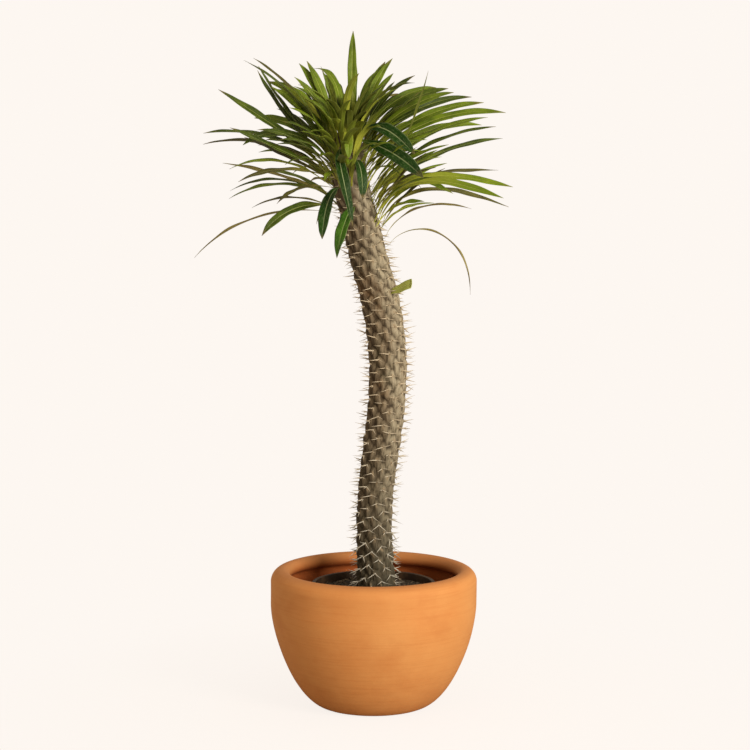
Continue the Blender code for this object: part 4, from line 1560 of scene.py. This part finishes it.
@dataclass(frozen=True)
class Trend:
    """How an angle changes through the crown, in degrees: its start, its slopes and its scatter."""

    start: float
    by_youth: float
    by_front: float
    scatter: float

    def at(self, youth: float, front: float, draw: np.random.Generator) -> float:
        """The angle of one leaf.

        Args:
            youth: 0 for the oldest leaf and 1 for the youngest.
            front: 0 at the back and 1 at the front.
            draw: the random draws.

        Returns:
            The angle in radians.
        """
        return math.radians(self.start + self.by_youth * youth + self.by_front * front
                            + draw.normal(0.0, self.scatter))


@dataclass(frozen=True)
class LeafHabit:
    """How a leaf grows, in metres and radians."""

    height: float
    heading: float
    rise: float
    droop: float
    length: float
    width: float
    bend: float = 1.2
    sweep: float = 0.0
    roll: float = 0.0


@dataclass(frozen=True)
class LeafBlade:
    """The cross-section that a leaf's blade carries along its line."""

    stations: int = 38
    middle_thickness: float = 0.0012
    edge_thickness: float = 0.0003
    groove: float = 0.00035
    keel: float = 0.0007
    fold: float = 0.12
    ripple: float = 0.0007
    top_places: tuple[float, ...] = (1.0, 0.84, 0.52, 0.20, 0.08, 0.0, -0.08, -0.20, -0.52, -0.84, -1.0)
    bottom_places: tuple[float, ...] = (-0.84, -0.5, -0.16, 0.0, 0.16, 0.5, 0.84)

    def surface(self, name: str, line: LeafLine, root: Array, tone: float, seed: int) -> bpy.types.Object:
        """The leaf's skin: a folded lens section carried along the line.

        At a place x across the blade, from -1 to 1, the middle of the skin rises by fold times the
        width times |x| to the power 1.3. The top lies half the thickness above it, less a groove along
        the midrib; the underside lies half the thickness below, plus a keel under the midrib. The edges
        ripple gently.

        Args:
            name: the piece's name.
            line: the leaf's middle line.
            root: where its base meets the stem.
            tone: the leaf's own shade, from 0 to 1.
            seed: picks its ripples.

        Returns:
            The leaf.
        """
        share, centre, up, width = line.resampled(self.stations, root)
        forward = unit(np.gradient(centre, axis=0))
        side = unit(np.cross(up, forward))
        up = np.cross(forward, side)
        place = np.array(self.top_places + self.bottom_places)
        above = np.arange(len(place)) < len(self.top_places)
        half = np.maximum(0.5 * width, 0.00025)[:, None]
        away = np.abs(place)[None]
        narrow = np.clip(width / max(width.max(), 1e-6), 0.15, 1.0)[:, None]
        thick = (self.edge_thickness + (self.middle_thickness - self.edge_thickness) * (1 - away ** 2)) * narrow
        rib = np.exp(-(place / 0.10) ** 2)[None]
        edge = np.sign(place)[None] * away ** 2
        phase = np.random.default_rng(seed).uniform(0.0, 2.0 * math.pi, 3)
        wave = self.ripple * np.sin(2 * math.pi * 2.6 * share[:, None] + phase[0]) * edge
        wave = wave + self.ripple * 0.7 * np.sin(2 * math.pi * 4.3 * share[:, None] + phase[1]) * away ** 2
        middle = 2.0 * half * self.fold * away ** 1.3 + wave * narrow
        top = middle + 0.5 * thick - self.groove * rib * narrow
        bottom = middle - 0.5 * thick - self.keel * rib * narrow
        rim = away > 0.999
        lift = np.where(rim, middle, np.where(above[None], top, bottom))
        grid = (centre[:, None] + side[:, None] * (half * place[None])[..., None]
                + up[:, None] * lift[..., None])
        points, quads, fans = loft(grid)
        shape = grid.shape[:2]
        under = np.where(np.broadcast_to(rim, shape), 0.5, np.where(above[None], 0.0, 1.0) * np.ones(shape))
        numbers = {
            "across": loft_numbers(np.broadcast_to(place[None], shape)),
            "along": loft_numbers(np.broadcast_to(share[:, None], shape)),
            "under": loft_numbers(under),
            "tone": np.full(len(points), tone)}
        leaf = mesh_object(name, points, quads, fans, numbers)
        face_outwards(leaf)
        return leaf


@dataclass
class Crown:
    """All the leaves: one for each CAD leaf, and the inner leaves that fill the crown by rule."""

    stem: Stem
    nodes: dict[str, bpy.types.Object]
    blade: LeafBlade = field(default_factory=LeafBlade)
    kinds: dict[LeafTone, tuple[str, ...]] = field(default_factory=lambda: {
        # The leaves that hang in the crown's shadow get the darkened finish: painted shade.
        LeafTone.DARK_AND_SHADED: ("front_leaf_1", "front_leaf_3", "front_leaf_5", "front_leaf_6", "front_leaf_7"),
        LeafTone.GREEN: ("front_leaf_2",),
        LeafTone.STRAW: ("top_leaf_10", "left_leaf_16", "right_leaf_17", "right_leaf_18", "left_leaf_12"),
        LeafTone.OLIVE: ("left_leaf_14", "left_leaf_13", "left_leaf_11", "left_leaf_5", "right_leaf_12",
                         "right_leaf_15", "left_leaf_8"),
        LeafTone.BRIGHT: ("right_leaf_14", "right_leaf_13", "right_leaf_16", "front_leaf_4"),
        LeafTone.MATURE: ("left_leaf_1", "left_leaf_4", "left_leaf_2", "left_leaf_3", "left_leaf_7",
                          "left_leaf_9", "left_leaf_10", "left_leaf_15", "right_leaf_8", "right_leaf_10",
                          "right_leaf_11", "top_leaf_9", "right_leaf_2", "right_leaf_4")})
    extra_roll: dict[str, float] = field(default_factory=lambda: {
        "front_leaf_6": 38.0, "front_leaf_7": 30.0, "left_leaf_4": -34.0, "left_leaf_5": -30.0,
        "left_leaf_2": -20.0, "left_leaf_3": -15.0, "left_leaf_8": -20.0, "left_leaf_7": -15.0})
    extra_width: dict[str, float] = field(default_factory=lambda: {
        "front_leaf_6": 1.02, "front_leaf_7": 0.98, "left_leaf_4": 0.70, "left_leaf_5": 0.72,
        "left_leaf_2": 0.85, "front_leaf_1": 1.15, "front_leaf_2": 1.15, "front_leaf_3": 1.28,
        "front_leaf_5": 1.22, "right_leaf_17": 0.55, "right_leaf_18": 0.70, "left_leaf_16": 0.80,
        "right_leaf_1": 0.85, "right_leaf_2": 0.85, "right_leaf_3": 0.85, "right_leaf_4": 0.85,
        "right_leaf_5": 0.85, "right_leaf_6": 0.85, "right_leaf_7": 0.85})
    filler_count: int = 78
    fan_count: int = 34
    bundle_count: int = 20
    bundle_low: float = 0.522
    bundle_band: float = 0.060
    bundle_bend: float = 0.7
    bundle_roll: tuple[float, float] = (20.0, 45.0)
    bundle_heading: tuple[float, float] = (-48.0, 30.0)
    bundle_rise: tuple[float, float] = (58.0, 74.0)
    bundle_droop: tuple[float, float] = (34.0, 62.0)
    bundle_length: tuple[float, float] = (0.095, 0.150)
    bundle_width: tuple[float, float] = (0.0068, 0.0092)
    bud_count: int = 16
    bud_band: float = 0.014
    bud_steepening: float = 14.0
    bud_shortening: float = 0.012
    bud_rise: tuple[float, float] = (84.0, 96.0)
    bud_droop: tuple[float, float] = (4.0, 26.0)
    bud_length: tuple[float, float] = (0.040, 0.062)
    bud_width: tuple[float, float] = (0.0070, 0.0095)
    filler_low: float = 0.545
    filler_high: float = 0.666
    root_inward: float = 0.0040
    root_back: float = 0.0025
    front_opening: float = math.radians(70.0)
    bare_edge: tuple[float, float] = (-0.012, 0.02)
    right_from: float = 0.1
    front_edge: tuple[float, float] = (0.25, 0.85)
    front_shortening: float = 0.46
    filler_stray: float = 0.12
    filler_rise: Trend = Trend(32.0, 42.0, 4.0, 6.0)
    filler_droop: Trend = Trend(62.0, -26.0, 46.0, 11.0)
    filler_length: float = 0.170
    filler_shortening: float = 0.055
    filler_length_spread: tuple[float, float] = (0.76, 1.12)
    filler_width: float = 0.0078
    filler_widening: float = 0.0046
    filler_width_spread: tuple[float, float] = (0.86, 1.16)
    filler_roll: tuple[float, float] = (8.0, 30.0)
    young_roll: float = 34.0
    filler_sweep: float = 0.10
    fan_below: float = 0.006
    fan_spread: float = 0.42
    fan_rise: Trend = Trend(62.0, 18.0, 0.0, 6.0)
    fan_droop: Trend = Trend(66.0, -26.0, 0.0, 10.0)
    fan_length: tuple[float, float] = (0.085, 0.135)
    fan_shortening: float = 0.020
    fan_width: tuple[float, float] = (0.0080, 0.0115)
    fan_sweep: tuple[float, float] = (30.0, 60.0)
    fan_roll: tuple[float, float] = (10.0, 35.0)
    bare_below: float = 0.585
    bare_right_below: float = 0.592
    old_below: float = 0.575
    turn_tries: int = 8
    turn_step: float = math.radians(2.5)
    trees: list[BVHTree] = field(default_factory=list)

    def tone_of(self, name: str) -> LeafTone:
        """The kind of a named leaf."""
        return next((tone for tone, names in self.kinds.items() if name in names), LeafTone.FRESH)

    def root_of(self, line: LeafLine) -> Array:
        """Where a leaf's base meets the stem: a little back and down from its first point, inwards.

        Args:
            line: the leaf's line.

        Returns:
            The root's place.
        """
        start = line.points[0]
        middle = float(self.stem.line(np.array([start[2] - self.stem.soil_z]))[0][0])
        inward = unit(np.array([middle - start[0], -start[1], 0.0]))
        back = unit(line.points[0] - line.points[1])
        return start + inward * self.root_inward + back * self.root_back

    def add(self, name: str, line: LeafLine, tone: LeafTone, seed: int, finishes: Finishes,
            *replaced: str) -> bpy.types.Object:
        """Build and dress one leaf.

        Args:
            name: the piece's name.
            line: its middle line.
            tone: its kind.
            seed: picks its own shade and ripples.
            finishes: the materials.
            replaced: the CAD nodes that it stands for.

        Returns:
            The leaf.
        """
        shade = float(np.random.default_rng(seed + 900).uniform(0.0, 1.0))
        leaf = self.blade.surface(name, line, self.root_of(line), shade, seed)
        return dress(leaf, finishes.of(tone.value), tone.slot, *replaced)

    def ribbon_tree(self, line: LeafLine) -> BVHTree:
        """A flat ribbon along a leaf, to test whether two leaves cross.

        Args:
            line: the leaf's line.

        Returns:
            The ribbon's search tree.
        """
        forward = unit(np.gradient(line.points, axis=0))
        side = unit(np.cross(line.up, forward)) * (0.5 * line.width)[:, None]
        pairs = np.stack([line.points + side, line.points - side], axis=1).reshape(-1, 3)
        first = np.arange(len(line.points) - 1) * 2
        quads = np.stack([first, first + 1, first + 3, first + 2], axis=1)
        return BVHTree.FromPolygons([Vector(p) for p in pairs], quads.tolist())

    def wanted(self, height: float, heading: float) -> bool:
        """Whether the crown holds an inner leaf there: the front and the right of the lower crown stay open."""
        facing = (heading - 1.5 * math.pi + math.pi) % (2.0 * math.pi) - math.pi
        depth = np.array(self.bare_below - height)
        open_width = self.front_opening * float(smooth_step(depth, *self.bare_edge))
        bare_right = height < self.bare_right_below and math.cos(heading) > self.right_from
        return abs(facing) > open_width and not bare_right

    def habits(self) -> list[LeafHabit]:
        """The inner leaves' habits: younger leaves higher up stand steeper and are shorter.

        Returns:
            One habit for each.
        """
        draw = np.random.default_rng(77)
        habits = []
        for number in range(self.filler_count):
            share = (number + 0.5) / self.filler_count
            height = self.filler_low + (self.filler_high - self.filler_low) * share
            heading = (number * GOLDEN_TURN + draw.normal(0.0, self.filler_stray)) % (2.0 * math.pi)
            youth = float(smooth_step(np.array(share), 0.0, 1.0))
            front = float(smooth_step(np.array(-math.sin(heading)), *self.front_edge))
            rise = self.filler_rise.at(youth, front, draw)
            droop = self.filler_droop.at(youth, front, draw)
            length = (self.filler_length - self.filler_shortening * youth) * draw.uniform(
                *self.filler_length_spread) * (1.0 - self.front_shortening * front)
            width = (self.filler_width + self.filler_widening * youth) * draw.uniform(
                *self.filler_width_spread)
            roll = math.radians(draw.uniform(*self.filler_roll) + self.young_roll * youth) * (1.0 - front)
            if self.wanted(height, heading):
                habits.append(LeafHabit(height, heading, rise, droop, length, width,
                                        sweep=float(draw.normal(0.0, self.filler_sweep)), roll=roll))
        return habits

    def fan(self) -> list[LeafHabit]:
        """Narrow leaves that start on the front of the crown and sweep away to both sides.

        Returns:
            One habit for each.
        """
        draw = np.random.default_rng(78)
        habits = []
        for number in range(self.fan_count):
            share = (number + 0.5) / self.fan_count
            height = self.bare_below - self.fan_below + (self.filler_high - self.bare_below) * share
            facing = ((number * GOLDEN_TURN + math.pi) % (2.0 * math.pi) - math.pi) * self.fan_spread
            heading = 1.5 * math.pi + facing
            away = math.copysign(1.0, facing)
            rise = self.fan_rise.at(share, 0.0, draw)
            droop = self.fan_droop.at(share, 0.0, draw)
            length = draw.uniform(*self.fan_length) - self.fan_shortening * share
            habits.append(LeafHabit(height, heading, rise, droop, length, draw.uniform(*self.fan_width),
                                    sweep=away * math.radians(draw.uniform(*self.fan_sweep)),
                                    roll=math.radians(draw.uniform(*self.fan_roll))))
        return habits

    def bundle(self) -> list[LeafHabit]:
        """Short leaves with long pale stalks that rise in a bundle from the right of the lower crown.

        Returns:
            One habit for each.
        """
        draw = np.random.default_rng(79)
        habits = []
        for number in range(self.bundle_count):
            height = self.bundle_low + self.bundle_band * (number + 0.5) / self.bundle_count
            heading = math.radians(draw.uniform(*self.bundle_heading))
            habits.append(LeafHabit(height, heading, math.radians(draw.uniform(*self.bundle_rise)),
                                    math.radians(draw.uniform(*self.bundle_droop)),
                                    draw.uniform(*self.bundle_length), draw.uniform(*self.bundle_width),
                                    bend=self.bundle_bend, roll=math.radians(draw.uniform(*self.bundle_roll))))
        return habits

    def bud(self) -> list[LeafHabit]:
        """Small young leaves that lean in over the growing tip and hide it from above.

        Returns:
            One habit for each.
        """
        draw = np.random.default_rng(80)
        habits = []
        for number in range(self.bud_count):
            share = (number + 0.5) / self.bud_count
            habits.append(LeafHabit(self.stem.top - self.bud_band * (1.0 - share), number * GOLDEN_TURN,
                                    math.radians(draw.uniform(*self.bud_rise) + self.bud_steepening * share),
                                    math.radians(draw.uniform(*self.bud_droop)),
                                    draw.uniform(*self.bud_length) - self.bud_shortening * share,
                                    draw.uniform(*self.bud_width)))
        return habits

    def cleared(self, habit: LeafHabit) -> LeafLine:
        """The first small turn of a leaf round the stem at which it crosses no other leaf.

        If no turn clears it, the leaf keeps the last turn and still crosses one.

        Args:
            habit: how the leaf would grow.

        Returns:
            Its line, turned if it must be.
        """
        for attempt in range(2 * self.turn_tries + 1):
            turn = ((attempt + 1) // 2) * self.turn_step * (1 if attempt % 2 else -1)
            line = LeafLine.grown(self.stem, LeafHabit(**{**vars(habit), "heading": habit.heading + turn}))
            tree = self.ribbon_tree(line)
            if not any(tree.overlap(other) for other in self.trees):
                break
        self.trees.append(self.ribbon_tree(line))
        return line

    def build(self, finishes: Finishes) -> list[bpy.types.Object]:
        """Build and dress every leaf.

        Args:
            finishes: the materials.

        Returns:
            The leaves.
        """
        leaves = []
        for seed, (name, node) in enumerate(sorted(self.nodes.items())):
            line = LeafLine.from_node(node)
            line = line.rolled(math.radians(self.extra_roll.get(name, 0.0)))
            line.width = line.width * self.extra_width.get(name, 1.0)
            self.trees.append(self.ribbon_tree(line))
            leaves.append(self.add(name.replace("_leaf_", "_blade_"), line, self.tone_of(name), seed,
                                   finishes, name))
        young = (LeafTone.FRESH, LeafTone.MATURE, LeafTone.FRESH, LeafTone.BRIGHT, LeafTone.MATURE)
        old = (LeafTone.FRESH, LeafTone.OLIVE, LeafTone.FRESH, LeafTone.MATURE, LeafTone.STRAW)
        stalked = (LeafTone.BRIGHT, LeafTone.BRIGHT, LeafTone.FRESH, LeafTone.BRIGHT, LeafTone.OLIVE)
        grown = [(habit, young if habit.height > self.old_below else old) for habit in self.habits()]
        grown += [(habit, young) for habit in self.fan()] + [(habit, stalked) for habit in self.bundle()]
        grown += [(habit, young) for habit in self.bud()]
        for number, (habit, kinds) in enumerate(grown):
            tone = kinds[number % len(kinds)]
            leaves.append(self.add(f"inner_blade_{number + 1}", self.cleared(habit), tone, 200 + number,
                                   finishes))
        return leaves


@dataclass
class CutLeaf:
    """The short base of an old leaf, cut off square."""

    node: bpy.types.Object
    stem: Stem
    thickness: float = 0.0016
    swell: float = 1.25
    sunk: float = 0.004
    stations: int = 12
    around: int = 16

    def build(self, finishes: Finishes) -> bpy.types.Object:
        """Build and dress the stub.

        Its section is a shallow channel carried straight from the stem to the cut, where it ends
        square; the width swells a little towards the cut.

        Args:
            finishes: the materials.

        Returns:
            The stub.
        """
        points = node_points(self.node)
        middle = points.mean(axis=0)
        axes = np.linalg.svd(points - middle)[2]
        forward = axes[0] * np.sign(axes[0][0])
        up = -axes[2] * np.sign(axes[2][1])
        side = np.cross(up, forward)
        reach = (points - middle) @ forward
        half_width = 0.5 * self.swell * np.ptp((points - middle) @ side)
        share = np.linspace(0.0, 1.0, self.stations)[:, None]
        along = reach.min() - self.sunk + (np.ptp(reach) + self.sunk) * share
        turn = np.arange(self.around) * 2.0 * math.pi / self.around
        across = np.sign(np.cos(turn)) * np.abs(np.cos(turn)) ** 0.6
        lift = 0.5 * self.thickness * np.sign(np.sin(turn)) * np.abs(np.sin(turn)) ** 0.6
        half = half_width * (0.55 + 0.45 * smooth_step(share, 0.0, 0.55))
        wave = 0.0006 * np.sin(9.0 * share + 1.0)
        grid = (middle + forward * along[..., None] + side * (half * across[None])[..., None]
                + up * (lift[None] + 0.18 * half * across[None] ** 2 + wave - 0.0008)[..., None])
        surface, quads, fans = loft(grid)
        shape = grid.shape[:2]
        numbers = {
            "across": loft_numbers(np.broadcast_to(across[None], shape)),
            "along": loft_numbers(np.broadcast_to(0.15 + 0.75 * share, shape)),
            "under": loft_numbers(np.broadcast_to((np.sin(turn) < 0.0)[None] * 1.0, shape)),
            "tone": np.full(len(surface), 0.2)}
        stub = mesh_object("cut_leaf", surface, quads, fans, numbers)
        face_outwards(stub)
        return dress(stub, finishes.of(LeafTone.PALE.value), LeafTone.PALE.slot, "cut_leaf_stub")


# ---- Studio ------------------------------------------------------------------------------------


@dataclass
class Studio:
    """The camera, a pale floor that fades into the backdrop, and soft lights."""

    backdrop: Colour = (0.985, 0.930, 0.880)
    camera_place: tuple[float, float, float] = (0.0021, -3.0, 0.802)
    camera_pitch: float = 6.07
    lens: float = 100.4
    floor_radius: float = 1.2
    sky: Colour = (1.0, 0.85, 0.67)
    sky_strength: float = 0.56
    key_power: float = 88.0
    key_place: tuple[float, float, float] = (1.9, -2.3, 1.3)
    key_aim: tuple[float, float, float] = (0.0, 0.0, 0.45)
    key_size: float = 1.2
    key_colour: Colour = (1.0, 0.93, 0.82)
    floor_bounce: Colour = (0.44, 0.37, 0.30)
    floor_colour: Colour = (0.10, 0.094, 0.090)
    floor_glow: float = 0.92
    floor_sides: int = 96
    floor_drop: float = 0.0004
    floor_rings: tuple[float, float, float] = (0.05, 0.2, 0.5)
    floor_fade: tuple[float, float] = (0.16, 0.62)

    def camera(self) -> None:
        """The camera, level from side to side and pitched a little down."""
        data = bpy.data.cameras.new("camera")
        data.lens = self.lens
        data.sensor_width = 36.0
        obj = bpy.data.objects.new("camera", data)
        obj.location = self.camera_place
        obj.rotation_euler = (math.radians(90.0 - self.camera_pitch), 0.0, 0.0)
        bpy.context.scene.collection.objects.link(obj)
        bpy.context.scene.camera = obj

    def world(self) -> None:
        """A plain backdrop for the camera, and a softer, dimmer sky for everything else."""
        world = bpy.data.worlds.new("backdrop")
        bpy.context.scene.world = world
        world.use_nodes = True
        tree = world.node_tree
        tree.nodes.clear()
        seen = tree.nodes.new("ShaderNodeBackground")
        seen.inputs["Color"].default_value = (*self.backdrop, 1.0)
        lit = tree.nodes.new("ShaderNodeBackground")
        lit.inputs["Color"].default_value = (*self.sky, 1.0)
        lit.inputs["Strength"].default_value = self.sky_strength
        path = tree.nodes.new("ShaderNodeLightPath")
        mix = tree.nodes.new("ShaderNodeMixShader")
        out = tree.nodes.new("ShaderNodeOutputWorld")
        tree.links.new(path.outputs["Is Camera Ray"], mix.inputs[0])
        tree.links.new(lit.outputs[0], mix.inputs[1])
        tree.links.new(seen.outputs[0], mix.inputs[2])
        tree.links.new(mix.outputs[0], out.inputs[0])

    def light(self, name: str, place: tuple[float, float, float], aim: tuple[float, float, float],
              size: float, power: float, colour: Colour) -> None:
        """An area light.

        Args:
            name: its name.
            place: where it stands.
            aim: what it faces.
            size: its side in metres.
            power: its power in watts.
            colour: its colour.
        """
        data = bpy.data.lights.new(name, "AREA")
        data.size = size
        data.energy = power
        data.color = colour
        obj = bpy.data.objects.new(name, data)
        obj.location = place
        direction = Vector(aim) - Vector(place)
        obj.rotation_euler = direction.to_track_quat("-Z", "Y").to_euler()
        bpy.context.scene.collection.objects.link(obj)

    def floor(self) -> None:
        """A round floor that matches the backdrop, takes a faint shadow, and fades out at its rim.

        What the camera sees is mostly the floor's own glow; what the plant gets is a dim bounce.
        """
        sides = self.floor_sides
        turns = np.arange(sides) * 2.0 * math.pi / sides
        level = np.full(sides, -self.floor_drop)
        loops = [np.column_stack([radius * np.cos(turns), radius * np.sin(turns), level])
                 for radius in (*self.floor_rings, self.floor_radius)]
        points = np.vstack(loops)
        row = np.arange(len(self.floor_rings))[:, None] * sides
        column = np.arange(sides)[None]
        after = (column + 1) % sides
        quads = np.stack([row + column, row + sides + column, row + sides + after, row + after], axis=-1)
        rim = np.arange(sides)
        fan = np.stack([np.full(sides, len(points)), rim, (rim + 1) % sides], axis=-1)
        centre = [[0.0, 0.0, -self.floor_drop]]
        obj = mesh_object("floor", np.vstack([points, centre]), quads.reshape(-1, 4), fan)
        g = Graph("floor")
        tree = g.tree
        distance = g.node("VectorMath", operation="LENGTH")
        g.feed(distance.inputs[0], g.place())
        fade = g.remap(distance.outputs["Value"], *self.floor_fade, 1.0, 0.0)
        seen = g.node("LightPath").outputs["Is Camera Ray"]
        g.finish(g.mix(seen, self.floor_bounce, self.floor_colour), 0.9, Specular_IOR_Level=0.0)
        g.shader.inputs["Emission Color"].default_value = (*self.backdrop, 1.0)
        g.feed(g.shader.inputs["Emission Strength"], g.math("MULTIPLY", seen, self.floor_glow))
        clear = g.node("BsdfTransparent")
        mix = g.node("MixShader")
        out = tree.nodes["Material Output"]
        g.feed(mix.inputs[0], fade)
        tree.links.new(clear.outputs[0], mix.inputs[1])
        tree.links.new(g.shader.outputs[0], mix.inputs[2])
        tree.links.new(mix.outputs[0], out.inputs["Surface"])
        obj.data.materials.append(g.material)

    def build(self) -> None:
        """Set up the whole studio."""
        self.camera()
        self.world()
        self.floor()
        self.light("key", self.key_place, self.key_aim, self.key_size, self.key_power, self.key_colour)
        scene = bpy.context.scene
        scene.view_settings.view_transform = "Standard"
        scene.view_settings.look = "None"


def main() -> None:
    """Load the frame and build every sub-assembly in order."""
    logging.basicConfig(level=logging.INFO, format="%(name)s: %(message)s")
    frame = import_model()
    nodes = frame["nodes"]
    finishes = Finishes()
    soil_below_rim = 0.011
    soil_foot_radius = 0.0582
    pot_low, pot_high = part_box("terracotta_pot")
    rim_low, rim_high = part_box("nursery_pot")
    soil_low, soil_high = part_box("potting_soil")
    soil_z = rim_high.z - soil_below_rim
    stem = Stem(nodes["stem"], soil_z)
    TerracottaPot(height=pot_high.z, radius=0.5 * (pot_high.x - pot_low.x)).build(finishes)
    NurseryPot(rim_radius=0.5 * (rim_high.x - rim_low.x), rim_z=rim_high.z, base_z=rim_low.z).build(finishes)
    stem_x, stem_radius = (float(v[0]) for v in stem.line(np.zeros(1)))
    Soil(bottom=soil_low.z, surface=soil_z, bottom_radius=soil_foot_radius,
         top_radius=0.5 * (soil_high.x - soil_low.x), stem_x=stem_x, stem_radius=stem_radius).build(finishes)
    stem.build(finishes)
    CutLeaf(nodes["cut_leaf_stub"], stem).build(finishes)
    leaf_nodes = {name: node for name, node in nodes.items() if "_leaf_" in name and name != "cut_leaf_stub"}
    leaves = Crown(stem, leaf_nodes).build(finishes)
    log.info("%d leaves", len(leaves))
    Studio().build()


if __name__ == "__main__":
    main()
